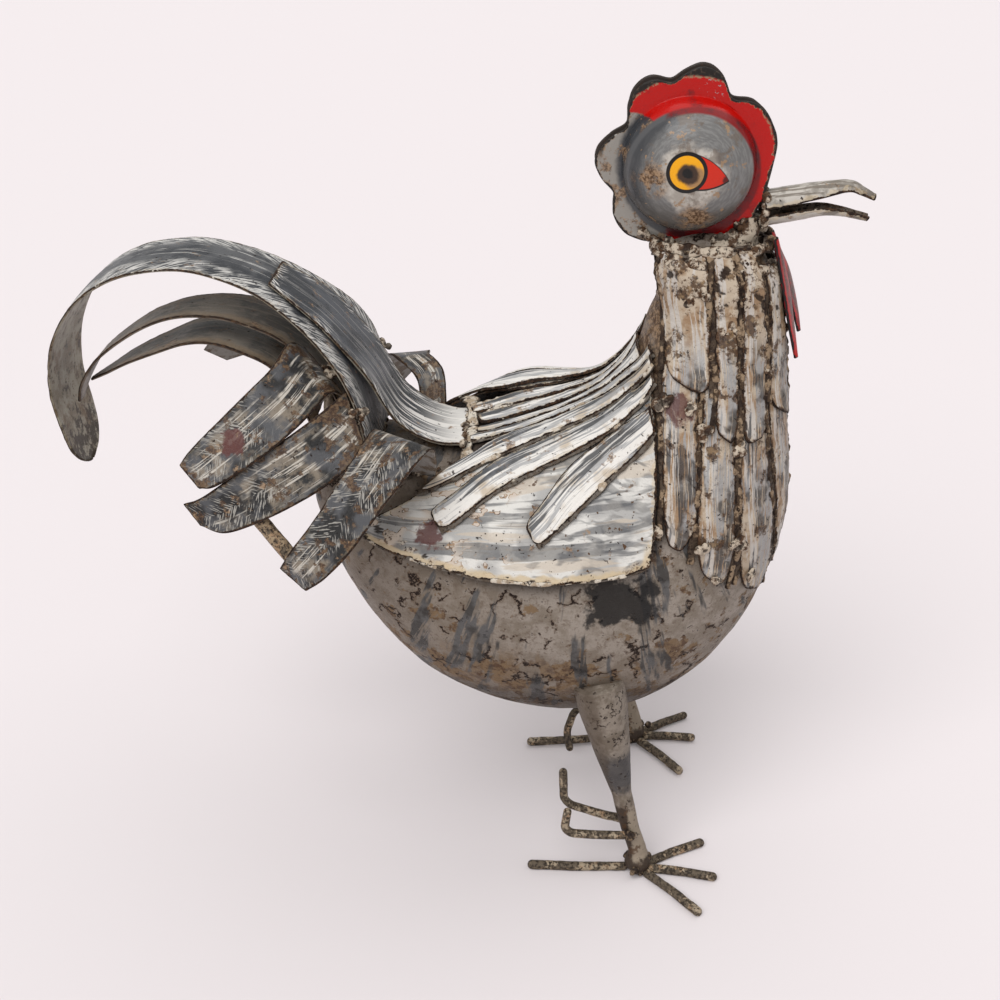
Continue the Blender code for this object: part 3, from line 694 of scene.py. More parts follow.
def aged(brush, colour, here, rim_reach=0.0009, border=0.45, stain=0.25, inside=None):
    """What all old sheet shares: stains, rusty pits, crust, a rusty cut edge and a bare brown back.

    Gives the colour, the roughness and the height that go with it.
    """
    fine = brush.grain(here)
    relief = brush.fact("relief")
    rim = brush.fact("rim")
    worn = brush.use(EDGE_WEAR, rim, rim_reach, here)
    edge = brush.use(EDGE_WEAR, rim, rim_reach * 2.6, brush.moved(here, (0.3, 0.1, 0)))
    colour = brush.coat(colour, BUTTER, edge, border)
    blotch = brush.step(brush.noise(here, 0.010, 5.0, 0.7), 0.62 - 0.14 * stain, 0.70 - 0.10 * stain)
    colour = brush.coat(colour, brush.coat(TAN, BROWN, brush.step(fine, 0.46, 0.56)), blotch, 0.85)
    crusted = brush.step(relief, 0.25, 0.85)
    colour = brush.coat(colour, CREAM, crusted, brush.step(fine, 0.44, 0.56), 0.8)
    colour = brush.coat(colour, BROWN, crusted, brush.step(fine, 0.50, 0.40))
    pit = brush.either(brush.step(relief, -0.30, -0.75), brush.patches(0.335, 0.300, here, 0.0032, 3.0, 0.6))
    colour = brush.coat(colour, DARK_RUST, pit, 0.9)
    colour = brush.coat(colour, brush.coat(BROWN, DARK_RUST, brush.step(fine, 0.36, 0.52)), worn)
    under = brush.coat(BROWN, TAUPE, brush.patches(0.42, 0.60, here, 0.014, 4.0, 0.65))
    under = brush.coat(under, DARK_RUST, brush.step(fine, 0.48, 0.62)) if inside is None else inside
    colour = brush.coat(colour, under, brush.step(brush.fact("back"), 0.30, 0.70))
    bare = brush.either(worn, pit)
    roughness = brush.blend(0.42, 0.80, bare)
    height = brush.minus(brush.blend(fine, brush.noise(here, 0.0009, 2.0), 0.4), brush.times(bare, 0.7))
    return colour, roughness, height


def uneven_rim(brush, here, size, rough, most):
    """Metres from the nearest edge, with up to most more added by noise."""
    return brush.plus(brush.fact("rim"), brush.times(brush.noise(here, size, 4.0, rough), most))


def old_red_spot(brush, colour, here, middle, torn=0.016, outer=0.0175, inner=0.0145, cover=0.9):
    """A round patch of old red paint with a torn edge."""
    spot = brush.away(here, middle)
    spot = brush.plus(spot, brush.times(brush.noise(here, 0.006, 4.0, 0.6), torn))
    return brush.coat(colour, OLD_RED, brush.step(spot, outer, inner), cover)


def dashes(brush, sheet, length, width, cover):
    """Bold brush strokes along the sheet, split by the bristles' dry gaps."""
    bold = brush.use(STROKES, sheet, length, width, cover)
    gaps = brush.use(STROKES, brush.moved(sheet, (0.7, 0.3, 0)), length * 0.5, width * 0.20, 0.36)
    return brush.both(bold, brush.without(brush.both(gaps, 0.7)))


# Middles of the patches of old red paint
WING_SPOT = (-0.0063, -0.0736, 0.2549)
NECK_SPOT = (0.1353, -0.0533, 0.3298)
COVERT_SPOT = (-0.1155, -0.081, 0.3150)


def strip_recipe(brush):
    """White and cream strips of the back with bold dark grey strokes along them."""
    here, sheet = brush.here(), brush.sheet()
    colour = brush.coat(CREAM, WHITE, brush.patches(0.34, 0.48, here, 0.020))
    smoky = brush.use(STROKES, brush.moved(sheet, (0.1, 0.6, 0)), 0.05, 0.0036, 0.44)
    colour = brush.coat(colour, LIGHT_GREY, smoky, 0.8)
    tone = brush.coat(GREY, DARK_GREY, brush.patches(0.36, 0.52, here, 0.014))
    colour = brush.coat(colour, tone, dashes(brush, sheet, 0.075, 0.0060, 0.48), 0.90)
    thin = brush.use(STROKES, brush.moved(sheet, (0.2, 0.9, 0)), 0.03, 0.0007, 0.28)
    colour = brush.coat(colour, GREY, thin, 0.6)
    return aged(brush, colour, here, 0.0007, 0.35, 0.30)


def wing_recipe(brush):
    """Wing plate: wide grey and cream bands along it, ringed chips and a crusty butter lower border."""
    here, sheet = brush.here(), brush.sheet()
    x, _, z = brush.parts(here)[:3]
    silver = brush.coat(SMOKED_WHITE, SILVER, brush.patches(0.42, 0.58, here, 0.024))
    colour = brush.coat(silver, CREAM, brush.use(STROKES, sheet, 0.06, 0.008, 0.42), 0.65)
    tone = brush.coat(BAND_GREY, BAND_DARK, brush.patches(0.42, 0.56, here, 0.014))
    bands = dashes(brush, brush.moved(sheet, (0.3, 0.4, 0)), 0.10, 0.0105, 0.50)
    colour = brush.coat(colour, tone, bands, 0.78)
    loose = brush.times(brush.noise(here, 0.02, 2.0), 0.03)
    ahead = brush.step(brush.plus(x, loose), 0.050, 0.075)
    bend = brush.vector("MULTIPLY", brush.noise(here, 0.030, 2.0, 0.5, out=1), (0.012, 0, 0.020))
    bent = brush.vector("ADD", here, bend)
    arcs = brush.step(brush.noise(brush.scaled(bent, (0.016, 0.1, 0.005)), 1.0, 2.0), 0.50, 0.60)
    colour = brush.coat(colour, tone, arcs, ahead, 0.6)
    dots = brush.patches(0.665, 0.70, here, 0.0042, 2.0, 0.5)
    colour = brush.coat(colour, BROWN, dots, ahead)
    # Flaked places: pale inside a torn tan ring, which is a thin band at one height of a slow noise
    height = brush.noise(brush.scaled(here, (1.7, 1.0, 1.0)), 0.0085, 3.0, 0.55)
    ring = brush.step(brush.math("ABSOLUTE", brush.minus(height, 0.565)), 0.016, 0.007)
    place = brush.both(brush.without(ahead), brush.patches(0.44, 0.52, here, 0.035, 2.0))
    colour = brush.coat(colour, FLAKE_PALE, brush.step(height, 0.560, 0.575), place)
    torn = brush.coat(TAN, BROWN, brush.patches(0.50, 0.60, here, 0.003, 2.0))
    colour = brush.coat(colour, torn, ring, place, 0.95)
    colour = old_red_spot(brush, colour, here, WING_SPOT)
    rim = uneven_rim(brush, here, 0.007, 0.6, 0.008)
    low = brush.step(z, 0.262, 0.250)
    colour = brush.coat(colour, BUTTER, brush.step(rim, 0.0095, 0.0070), low, 0.85)
    return aged(brush, colour, here, 0.0010, 0.5, 0.25)


def neck_recipe(brush):
    """Cream and grey strokes on tan, with much brown rust in blotches and along every seam."""
    here, sheet = brush.here(), brush.sheet()
    z = brush.parts(here)[2]
    fine = brush.grain(here)
    colour = brush.coat(TAN, SAND, brush.patches(0.40, 0.56, here, 0.014, 4.0, 0.6))
    pale = brush.use(STROKES, sheet, 0.040, 0.0030, 0.46)
    colour = brush.coat(colour, CHALK, pale, 0.75)
    tone = brush.coat(LIGHT_GREY, DARK_GREY, brush.patches(0.44, 0.56, here, 0.018))
    below = brush.step(z, 0.375, 0.350)
    bold = dashes(brush, brush.moved(sheet, (0.4, 0.2, 0)), 0.050, 0.0036, 0.46)
    colour = brush.coat(colour, tone, bold, below, 0.85)
    rust = brush.coat(BROWN, OCHRE, brush.patches(0.50, 0.62, here, 0.005))
    rust = brush.coat(rust, DARK_RUST, brush.step(fine, 0.50, 0.62))
    high = brush.times(brush.step(z, 0.32, 0.38), 0.050)
    blotch = brush.step(brush.plus(brush.noise(here, 0.016, 6.0, 0.7), high), 0.570, 0.625)
    colour = brush.coat(colour, rust, blotch, 0.92)
    rim = uneven_rim(brush, here, 0.005, 0.65, 0.007)
    colour = brush.coat(colour, rust, brush.step(rim, 0.0056, 0.0038))
    colour = old_red_spot(brush, colour, here, NECK_SPOT, cover=0.85)
    return aged(brush, colour, here, 0.0006, 0.0, 0.3)


def light_on_dark(brush, here, sheet, base, barb_reach, barbs, streaks, light):
    """Dark sheet with light barbs combed in from both edges and long streaks in patches."""
    rim = brush.plus(brush.fact("rim"), brush.math("MULTIPLY_ADD", brush.noise(here, 0.008), 0.010, -0.005))
    colour = brush.coat(base, DARK_GREY, brush.patches(0.40, 0.58, here, 0.026))
    patchy = brush.patches(0.50, 0.60, here, 0.032)
    long_ones = brush.use(STROKES, sheet, 0.050, 0.0013, streaks)
    colour = brush.coat(colour, light, long_ones, brush.either(patchy, 0.25), 0.9)
    combed = brush.use(BARBS, sheet, 0.52, 0.0013, barbs)
    some = brush.patches(0.36, 0.50, here, 0.028)
    colour = brush.coat(colour, light, combed, brush.step(rim, barb_reach, barb_reach * 0.4), some, 0.92)
    return colour


def sickle_recipe(base, reach, barbs, streaks, light, foot=False):
    """Tail band: dark above with light barbs, dull taupe and brown stains below.

    With foot it fades to white toward its own far end, where it lies on the back.
    """
    def recipe(brush):
        here, sheet = brush.here(), brush.sheet()
        colour = light_on_dark(brush, here, sheet, base, reach, barbs, streaks, light)
        if foot:
            torn = brush.use(STROKES, sheet, 0.05, 0.002, 0.5)
            x = brush.plus(brush.parts(here)[0], brush.times(torn, 0.03))
            colour = brush.coat(colour, WHITE, brush.step(x, -0.025, 0.012), 0.92)
        dull = brush.coat(DULL_OLIVE, DULL_TAUPE, brush.patches(0.42, 0.58, here, 0.014, 5.0, 0.65))
        dull = brush.coat(dull, STAIN_BROWN, brush.patches(0.52, 0.62, here, 0.022, 5.0, 0.7), 0.8)
        dull = brush.coat(dull, BROWN, brush.patches(0.56, 0.64, here, 0.005, 5.0, 0.7), 0.8)
        low = brush.times(brush.step(brush.parts(here)[2], 0.300, 0.270), 0.14)
        low = brush.step(brush.plus(brush.noise(here, 0.007, 5.0, 0.7), low), 0.56, 0.63)
        dull = brush.coat(dull, SOOT_BROWN, low, 0.9)
        return aged(brush, colour, here, 0.0008, 0.25, 0.15, inside=dull)
    return recipe


def inner_sickle_recipe(brush):
    """Second and third bands: worn grey brown, browner toward a ragged rusty edge."""
    here, sheet = brush.here(), brush.sheet()
    rim = uneven_rim(brush, here, 0.007, 0.65, 0.012)
    colour = brush.coat(WORN_GREY, WORN_DARK, brush.patches(0.42, 0.58, here, 0.020, 5.0, 0.65))
    colour = brush.coat(colour, WORN_CREAM, brush.use(STROKES, sheet, 0.035, 0.0012, 0.38), 0.6)
    colour = brush.coat(colour, EDGE_TAN, brush.step(rim, 0.0175, 0.0095), 0.75)
    streaky = brush.use(STROKES, sheet, 0.020, 0.0016, 0.46)
    colour = brush.coat(colour, EDGE_BROWN, brush.step(rim, 0.0095, 0.0070), brush.either(streaky, 0.5), 0.9)
    dull = brush.coat(TAUPE, DULL_BROWN, brush.patches(0.40, 0.60, here, 0.012, 5.0, 0.65))
    return aged(brush, colour, here, 0.0009, 0.0, 0.35, inside=dull)


def covert_recipe(brush):
    """Strips beside the tail: dark, cream streaks along the middle, barbs at the tip, rust at the root."""
    here, sheet = brush.here(), brush.sheet()
    along = brush.parts(sheet)[0]
    rim = brush.fact("rim")
    fine = brush.grain(here)
    colour = brush.coat(COVERT_GREY, COVERT_BLACK, brush.patches(0.42, 0.56, here, 0.020))
    middle = brush.both(brush.step(rim, 0.0015, 0.0060), brush.patches(0.44, 0.54, here, 0.025))
    cloudy = brush.both(middle, brush.patches(0.44, 0.60, here, 0.012, 5.0, 0.65), 0.75)
    colour = brush.coat(colour, CLOUDY_TAN, cloudy)
    colour = brush.coat(colour, STREAK_CREAM, brush.use(STROKES, sheet, 0.030, 0.0012, 0.44), middle, 0.92)
    tip = brush.step(along, 0.048, 0.070)
    combed = brush.use(BARBS, sheet, 0.85, 0.0008, 0.40)
    colour = brush.coat(colour, BARB_GREY, combed, tip, brush.patches(0.40, 0.52, here, 0.018), 0.85)
    root = brush.plus(brush.times(brush.step(along, 0.040, 0.004), 0.10),
                      brush.times(brush.step(rim, 0.0060, 0.0), 0.055))
    rust = brush.step(brush.plus(brush.noise(here, 0.011, 5.0, 0.7), root), 0.565, 0.610)
    tone = brush.coat(ROOT_RUST, ROOT_DARK, brush.step(fine, 0.42, 0.56))
    colour = brush.coat(colour, tone, rust, 0.9)
    colour = old_red_spot(brush, colour, here, COVERT_SPOT, torn=0.014, outer=0.0155, inner=0.0130)
    dull = brush.coat(DULL_CREAM, DULL_RUST, brush.patches(0.46, 0.62, here, 0.010, 5.0, 0.65))
    return aged(brush, colour, here, 0.0009, 0.1, 0.15, inside=dull)


# Middle of the black patch under the right wing's front end
BLACK_PATCH_X = 0.106
BLACK_PATCH_Z = 0.217


def belly_recipe(brush):
    """Taupe shell: pits, short cracks, brown patches low down, dark leaf strokes down its sides, and painted
    shade under the strips and toward the bottom.
    """
    here, sheet = brush.here(), brush.sheet()
    x, y, z = brush.parts(here)[:3]
    turn, girth = brush.parts(sheet)[:2]
    fine = brush.grain(here, 0.0026)
    colour = brush.coat(TAUPE, ROSE_GREY, brush.patches(0.42, 0.60, here, 0.016, 4.0, 0.65))
    colour = brush.coat(colour, SPECK_BROWN, brush.step(fine, 0.52, 0.66), 0.7)
    # Darker brown toward the rear; then painted shade, darker brown toward the bottom
    colour = brush.coat(colour, DARKENING_BROWN, brush.step(x, 0.075, 0.0), 0.40)
    colour = brush.coat(colour, DARKENING_BROWN, brush.step(z, 0.20, 0.14), 0.40)
    low = brush.times(brush.step(z, 0.215, 0.140), 0.075)
    cloud = brush.step(brush.plus(brush.noise(here, 0.018, 5.0, 0.68), low), 0.565, 0.615)
    mottle = brush.coat(MOTTLE, BROWN, brush.patches(0.46, 0.60, here, 0.006, 4.0, 0.7))
    colour = brush.coat(colour, mottle, cloud, 0.92)
    leaf = brush.joined(girth, turn)
    smear = brush.use(STROKES, leaf, 0.20, 0.045, 0.40)
    colour = brush.coat(colour, mottle, smear, brush.step(z, 0.190, 0.165), 0.75)
    spots = brush.patches(0.655, 0.685, here, 0.0040, 3.0, 0.6)
    some = brush.patches(0.40, 0.54, here, 0.045, 2.0)
    colour = brush.coat(colour, DARK_RUST, spots, some, 0.85)
    crack = brush.use(CRACKS, here, 0.0165, 0.050, 0.37)
    colour = brush.coat(colour, BROWN, brush.use(CRACKS, here, 0.0165, 0.12, 0.40), 0.6)
    colour = brush.coat(colour, DARK_RUST, crack)
    stroke = brush.use(STROKES, leaf, 0.34, 0.034, 0.385)
    grey = brush.coat(LEAF_GREY, LEAF_DARK, brush.patches(0.40, 0.58, here, 0.012))
    dry = brush.without(brush.both(brush.use(STROKES, leaf, 0.12, 0.0050, 0.40), 0.7))
    colour = brush.coat(colour, grey, stroke, dry, 0.92)
    warp = brush.math("MULTIPLY_ADD", brush.noise(here, 0.012, 4.0, 0.6), 0.036, -0.018)
    beside = brush.math("ABSOLUTE", brush.minus(brush.plus(x, warp), BLACK_PATCH_X))
    above = brush.math("ABSOLUTE", brush.minus(brush.plus(z, warp), BLACK_PATCH_Z))
    colour = brush.coat(colour, BLACK, brush.step(beside, 0.022, 0.017), brush.step(above, 0.016, 0.011),
                        brush.step(y, 0.0, -0.01), 0.93)
    # Painted shade: the lowest part of the shell darkened to near black
    colour = brush.coat(colour, DARK_RUST, brush.step(z, 0.150, 0.132), 0.55)
    # Painted shade under the strips and wing: near black low down, brown and tan on the neck
    painted_shade = brush.coat(BROWN, TAN, brush.step(fine, 0.46, 0.60))
    painted_shade = brush.coat(DARK_RUST, painted_shade, brush.step(z, 0.30, 0.37))
    colour = brush.coat(colour, painted_shade, brush.fact("shade"))
    relief = brush.fact("relief")
    colour = brush.coat(colour, DARK_RUST, brush.step(relief, -0.30, -0.7), 0.9)
    bare = brush.either(crack, brush.both(cloud, 0.5))
    height = brush.minus(fine, brush.times(crack, 0.9))
    return colour, brush.blend(0.50, 0.82, bare), height


# Places on the head plate, as x and z from its middle
EYE = (-0.0025, 0.0017)
PUPIL_RING = (-0.0018, 0.0008)
PUPIL = (-0.0018, 0.0012)
FLAME_TOP_DISC = (-0.0060, -0.01755)
FLAME_LOW_DISC = (0.0050, 0.0205)
FLAME_TIP = (0.0190, -0.0026)
WALL_MIDDLE = (0.0018, -0.0042)
CHEEK_MIDDLE = (0.0008, -0.0030)
RUST_BEHIND_EYE = (-0.021, -0.004)
RUST_UNDER_EYE = (0.004, -0.026)
FLAKE_ON_COMB = (0.011, 0.044)


def head_recipe(brush):
    """Pressed head painted by hand: grey cheek, ringed eye with a flame, red comb and face.

    Every mark is a distance from a point on the plate, in its flat x and z, torn by noise.
    """
    here = brush.here()
    x, _, z = brush.parts(here)[:3]
    flat = brush.joined(brush.minus(x, HEAD_X), brush.minus(z, HEAD_Z))
    swirls = brush.noise(here, 0.006, 4.0, 0.6, out=1)
    torn = brush.resized(brush.vector("SUBTRACT", swirls, (0.5, 0.5, 0.5)), 0.004)
    loose = brush.vector("ADD", flat, torn)

    def away(place, x, z):
        return brush.away(place, (x, z, 0))

    def swirl(size):
        """Brush marks round the middle: noise over angle and distance."""
        turn = brush.math("ARCTAN2", up, ahead)
        return brush.noise(brush.joined(brush.times(turn, 0.006), away(flat, 0, 0)), size, 3.0, 0.6)

    ahead, up = brush.parts(flat)[:2]
    fine = brush.grain(here)
    broad = brush.noise(here, 0.013, 4.0, 0.65)
    marks = brush.step(swirl(0.0013), 0.42, 0.62)
    cheek = brush.coat(CHEEK_GREY, CHEEK_LIGHT, marks)
    # Painted shade: a dark grey band round the back edge of the cheek
    cheek_edge_shade = brush.step(away(loose, 0.002, -0.002), 0.0245, 0.0330)
    cheek = brush.coat(cheek, DARK_GREY, cheek_edge_shade, brush.step(ahead, 0.004, -0.014), 0.85)
    cheek = brush.coat(cheek, CHEEK_SHADE, brush.step(brush.parts(loose)[1], -0.012, -0.027), 0.7)
    ragged = brush.plus(away(loose, 0.000, -0.002), brush.times(brush.noise(here, 0.010, 4.0, 0.6), 0.016))
    pale = brush.both(brush.step(ragged, 0.0285, 0.0225), 0.9)
    cheek = brush.coat(cheek, brush.coat(FACE_CREAM, FACE_WHITE, brush.step(broad, 0.40, 0.54)), pale)
    smoke = brush.both(brush.patches(0.54, 0.62, here, 0.012, 5.0, 0.65), 0.6)
    cheek = brush.coat(cheek, SPECK_BROWN, smoke)
    rusty = brush.either(brush.step(away(loose, *RUST_BEHIND_EYE), 0.0125, 0.005),
                         brush.step(away(loose, *RUST_UNDER_EYE), 0.014, 0.004))
    rusty = brush.both(rusty, brush.step(broad, 0.42, 0.52))
    cheek = brush.coat(cheek, brush.coat(TAN, BROWN, brush.step(fine, 0.42, 0.58)), rusty)
    drips = brush.patches(0.615, 0.65, here, 0.0075, 4.0, 0.6)
    cheek = brush.coat(cheek, TAN, drips, 0.9)

    shut = away(flat, *EYE)
    # The flame beside the eye is where two discs overlap, which gives it a curved back and a point
    above = away(flat, *FLAME_TOP_DISC)
    below = away(flat, *FLAME_LOW_DISC)
    beside = brush.step(ahead, 0.0018, 0.0024)
    flame = brush.both(brush.step(above, 0.0301, 0.0297), brush.step(below, 0.0278, 0.0274), beside)
    lined = brush.both(brush.step(above, 0.0306, 0.0301), brush.step(below, 0.0288, 0.0283), beside)
    cheek = brush.coat(cheek, BLACK, lined)
    cheek = brush.coat(cheek, FLAME_RED, flame)
    tip = brush.step(away(loose, *FLAME_TIP), 0.0032, 0.0018)
    cheek = brush.coat(cheek, BLACK, tip, flame, 0.85)
    cheek = brush.coat(cheek, BLACK, brush.step(shut, 0.01135, 0.01095))
    cheek = brush.coat(cheek, AMBER, brush.step(shut, 0.0093, 0.0089))
    patina = brush.both(brush.step(away(loose, 0.0018, -0.0008), 0.0075, 0.0045), 0.8)
    cheek = brush.coat(cheek, PATINA, patina, brush.step(shut, 0.0093, 0.0089))
    cheek = brush.coat(cheek, PUPIL_BROWN, brush.step(away(loose, *PUPIL_RING), 0.0068, 0.0048))
    cheek = brush.coat(cheek, BLACK, brush.step(away(loose, *PUPIL), 0.0036, 0.0022))

    # Painted shade: the dome's wall toward the beak is maroon and dark red, red paint in shade; the rest of
    # the wall is grey
    wall = brush.coat(MAROON, DARK_RED, brush.step(broad, 0.42, 0.58))
    angle = brush.math("ARCTAN2", up, ahead)
    angle = brush.plus(angle, brush.math("MULTIPLY_ADD", brush.noise(here, 0.006, 4.0, 0.6), 0.30, -0.15))
    # On the left the red ends on a nearly level line over the grey
    level = brush.math("MULTIPLY_ADD", brush.parts(loose)[0], 0.13, brush.parts(loose)[1])
    reddened = brush.both(brush.step(angle, -1.86, -1.80),
                          brush.either(brush.step(angle, 1.80, 1.70), brush.step(level, 0.0226, 0.0240)))
    wall_in_shade = brush.both(brush.step(angle, -1.92, -1.80), brush.step(angle, 2.10, 1.92))
    red = brush.coat(RED, DARK_RED, brush.step(broad, 0.54, 0.70))
    lobes = brush.coat(LOBE_GREY, DARK_GREY, brush.step(away(loose, 0, 0), 0.0415, 0.0375))
    blot = brush.patches(0.51, 0.59, here, 0.009, 5.0, 0.68)
    lobes = brush.coat(lobes, brush.coat(TAN, BROWN, brush.step(fine, 0.40, 0.60)), blot, 0.85)
    rim = brush.coat(lobes, red, reddened)
    reach = away(flat, *WALL_MIDDLE)
    colour = brush.coat(rim, brush.coat(WALL_GREY, wall, wall_in_shade), brush.step(reach, 0.0385, 0.0372))
    colour = brush.coat(colour, cheek, brush.step(away(flat, *CHEEK_MIDDLE), 0.0346, 0.0334))

    flake = brush.both(brush.step(away(loose, *FLAKE_ON_COMB), 0.010, 0.004), brush.step(fine, 0.60, 0.63))
    colour = brush.coat(colour, LIGHT_GREY, flake)
    # The outer band of bare dark sheet is widest at the tops of the red lobes
    lobed = brush.minus(away(flat, 0, 0), brush.times(brush.noise(here, 0.004), 0.002))
    bare_top = brush.both(brush.step(lobed, 0.0462, 0.0476), brush.step(up, 0.0, 0.01))
    worn = brush.either(brush.use(EDGE_WEAR, brush.fact("rim"), 0.0011, here), bare_top)
    border = brush.either(brush.use(EDGE_WEAR, brush.fact("rim"), 0.0014, here),
                          brush.both(brush.step(lobed, 0.0455, 0.0464), brush.step(up, 0.0, 0.01)))
    colour = brush.coat(colour, TAN, border, brush.step(fine, 0.46, 0.52))
    colour = brush.coat(colour, brush.coat(BARE_BLACK, BARE_BROWN, brush.step(fine, 0.52, 0.62)), worn)
    back = brush.coat(BACK_BROWN, BROWN, brush.patches(0.55, 0.68, here, 0.005, 4.0, 0.7))
    colour = brush.coat(colour, back, brush.step(brush.fact("back"), 0.30, 0.70))
    matt = brush.either(rusty, brush.step(brush.fact("back"), 0.3, 0.7))
    rough = brush.blend(0.26, 0.70, brush.either(worn, matt))
    return colour, rough, brush.blend(brush.noise(here, 0.0035), swirl(0.0010), 0.4)


def red_recipe(brush):
    """Red leaf, darker in places, its middle worn to brown and its edges to black."""
    here = brush.here()
    fine = brush.grain(here)
    colour = brush.coat(RED, DARK_RED, brush.patches(0.48, 0.62, here, 0.012))
    middle = brush.step(brush.fact("rim"), 0.0018, 0.0040)
    face = brush.both(middle, brush.patches(0.40, 0.54, here, 0.009, 4.0, 0.6))
    brown = brush.coat(WATTLE_BROWN, DARK_RUST, brush.step(fine, 0.42, 0.56))
    colour = brush.coat(colour, brown, face, 0.85)
    worn = brush.use(EDGE_WEAR, brush.fact("rim"), 0.0008, here)
    colour = brush.coat(colour, BLACK, worn)
    dark = brush.coat(BLACK, DARK_RED, brush.patches(0.5, 0.6, here, 0.01))
    colour = brush.coat(colour, dark, brush.step(brush.fact("back"), 0.3, 0.7))
    return colour, brush.blend(0.42, 0.65, worn), fine


def beak_recipe(brush):
    """Cream over grey brown, rubbed bare at the tips."""
    here, sheet = brush.here(), brush.sheet()
    fine = brush.grain(here)
    colour = brush.coat(BEAK_GREY, BEAK_CREAM, brush.patches(0.42, 0.56, here, 0.012, 4.0, 0.6))
    colour = brush.coat(colour, BEAK_STREAK, brush.use(STROKES, sheet, 0.03, 0.0018, 0.42), 0.85)
    tip = brush.step(brush.plus(brush.parts(here)[0], brush.times(fine, 0.008)), 0.224, 0.242)
    colour = brush.coat(colour, BEAK_TIP, tip, 0.8)
    return aged(brush, colour, here, 0.0008)


def bar_recipe(light, cover):
    """Round bar: dark brown steel with what is left of the cream paint, in patches along it."""
    def recipe(brush):
        here = brush.here()
        fine = brush.grain(here, 0.0020)
        colour = brush.coat(BAR_BROWN, BAR_DARK, brush.step(fine, 0.44, 0.60))
        broad = brush.noise(here, 0.009, 5.0, 0.68)
        left = brush.step(broad, 0.66 - 0.3 * cover, 0.72 - 0.3 * cover)
        tone = brush.coat(light, TAN, brush.patches(0.45, 0.6, here, 0.004))
        colour = brush.coat(colour, tone, left, brush.step(fine, 0.60, 0.46))
        return colour, brush.blend(0.62, 0.5, left), brush.blend(fine, left, 0.4)
    return recipe


# How far the shank leans: x per metre of height
SHANK_LEAN = -0.163


def leg_recipe(brush):
    """Taupe thigh, a dark painted band below it, then a bar that is brown behind and cream ahead; the
    thigh's and the bar's darker rear sides are painted shade.
    """
    here = brush.here()
    x, _, z = brush.parts(here)[:3]
    fine = brush.grain(here)
    loose = brush.math("MULTIPLY_ADD", brush.noise(here, 0.008, 4.0, 0.6), 0.022, -0.011)
    height = brush.plus(z, loose)
    thigh = brush.coat(THIGH_DARK, THIGH_TAUPE, brush.patches(0.40, 0.58, here, 0.010, 4.0, 0.65))
    thigh = brush.coat(thigh, DARK_RUST, brush.use(CRACKS, here, 0.012, 0.05, 0.34))
    band = brush.both(brush.step(height, 0.066, 0.075), brush.step(height, 0.108, 0.092))
    thigh = brush.coat(thigh, THIGH_BAND, band, 0.82)
    middle = brush.math("MULTIPLY_ADD", z, SHANK_LEAN, FOOT_X - 0.0005)
    front = brush.plus(brush.minus(x, middle), brush.times(loose, 0.5))
    behind = brush.both(brush.step(front, -0.0040, -0.0100), 0.65)
    thigh = brush.coat(thigh, THIGH_SHADE, behind)
    # Painted shade: the bar is brown on its rear side and cream ahead
    bar = brush.coat(SHANK_BROWN, SHANK_CREAM, brush.step(front, -0.0015, 0.0015), 0.9)
    bar = brush.coat(bar, BROWN, brush.patches(0.54, 0.62, here, 0.007, 4.0, 0.65), 0.8)
    colour = brush.coat(bar, thigh, brush.step(height, 0.052, 0.060))
    pit = brush.patches(0.62, 0.68, here, 0.0034)
    colour = brush.coat(colour, DARK_RUST, pit, 0.8)
    colour = brush.coat(colour, SHANK_BROWN, brush.step(height, 0.016, 0.010))
    return colour, brush.blend(0.55, 0.75, pit), fine


def weld_recipe(light, dark):
    """Weld spatter: paint on its lumps, dark rust in its hollows."""
    def recipe(brush):
        here = brush.here()
        fine = brush.grain(here, 0.0024)
        colour = brush.coat(dark, light, brush.patches(0.44, 0.56, here, 0.006, 4.0, 0.65))
        colour = brush.coat(colour, DARK_RUST, brush.step(fine, 0.54, 0.64))
        colour = brush.coat(colour, DARK_RUST, brush.step(brush.fact("relief"), -0.05, -0.4), 0.8)
        return colour, brush.blend(0.5, 0.8, brush.step(fine, 0.45, 0.6)), fine
    return recipe


BELLY = finish("belly_paint", belly_recipe, bump=0.0008)
WING = finish("wing_paint", wing_recipe)
STRIP = finish("wing_strip_paint", strip_recipe)
NECK = finish("neck_paint", neck_recipe, bump=0.0009)
SICKLE = finish("sickle_paint", sickle_recipe(SICKLE_DARK, 0.020, 0.54, 0.37, SICKLE_BARB))
OVERLAY = finish("overlay_paint", sickle_recipe(OVERLAY_DARK, 0.007, 0.46, 0.36, WHITE, foot=True))
INNER_SICKLE = finish("inner_sickle_paint", inner_sickle_recipe)
COVERT = finish("covert_paint", covert_recipe)
HEAD = finish("head_paint", head_recipe, bump=0.0003, coat=0.13)
LEAF = finish("red_paint", red_recipe, bump=0.0004, coat=0.06)
BEAK = finish("beak_paint", beak_recipe)
BAR = finish("bar_paint", bar_recipe(BAR_CREAM, 0.55), bump=0.0008)
BRACE = finish("brace_paint", bar_recipe(BRACE_TAN, 0.75), bump=0.0008)
LEG = finish("leg_paint", leg_recipe, bump=0.0008)
PALE_WELD = finish("pale_weld", weld_recipe(CREAM, BROWN), bump=0.0010)
RUST_WELD = finish("rust_weld", weld_recipe(WELD_TAN, WELD_BROWN), bump=0.0010)
WING_WELD = finish("wing_weld", weld_recipe(WELD_SAND, WELD_CLAY), bump=0.0008)
DARK_WELD = finish("dark_weld", weld_recipe(WELD_UMBER, DARK_RUST), bump=0.0010)


# Body

BODY_ROWS = 280
BODY_AROUND = 192
# Each end of the shell is closed by rows that narrow and move outward by a step
CAP_ROWS = 4
CAP_STEP = 0.0018
CAP_NARROWING = np.array([0.97, 0.80, 1.0])
NECK_CAP_WAY = np.array([0.0, 0, 1])
RUMP_CAP_WAY = np.array([-0.6, 0, 0.2])


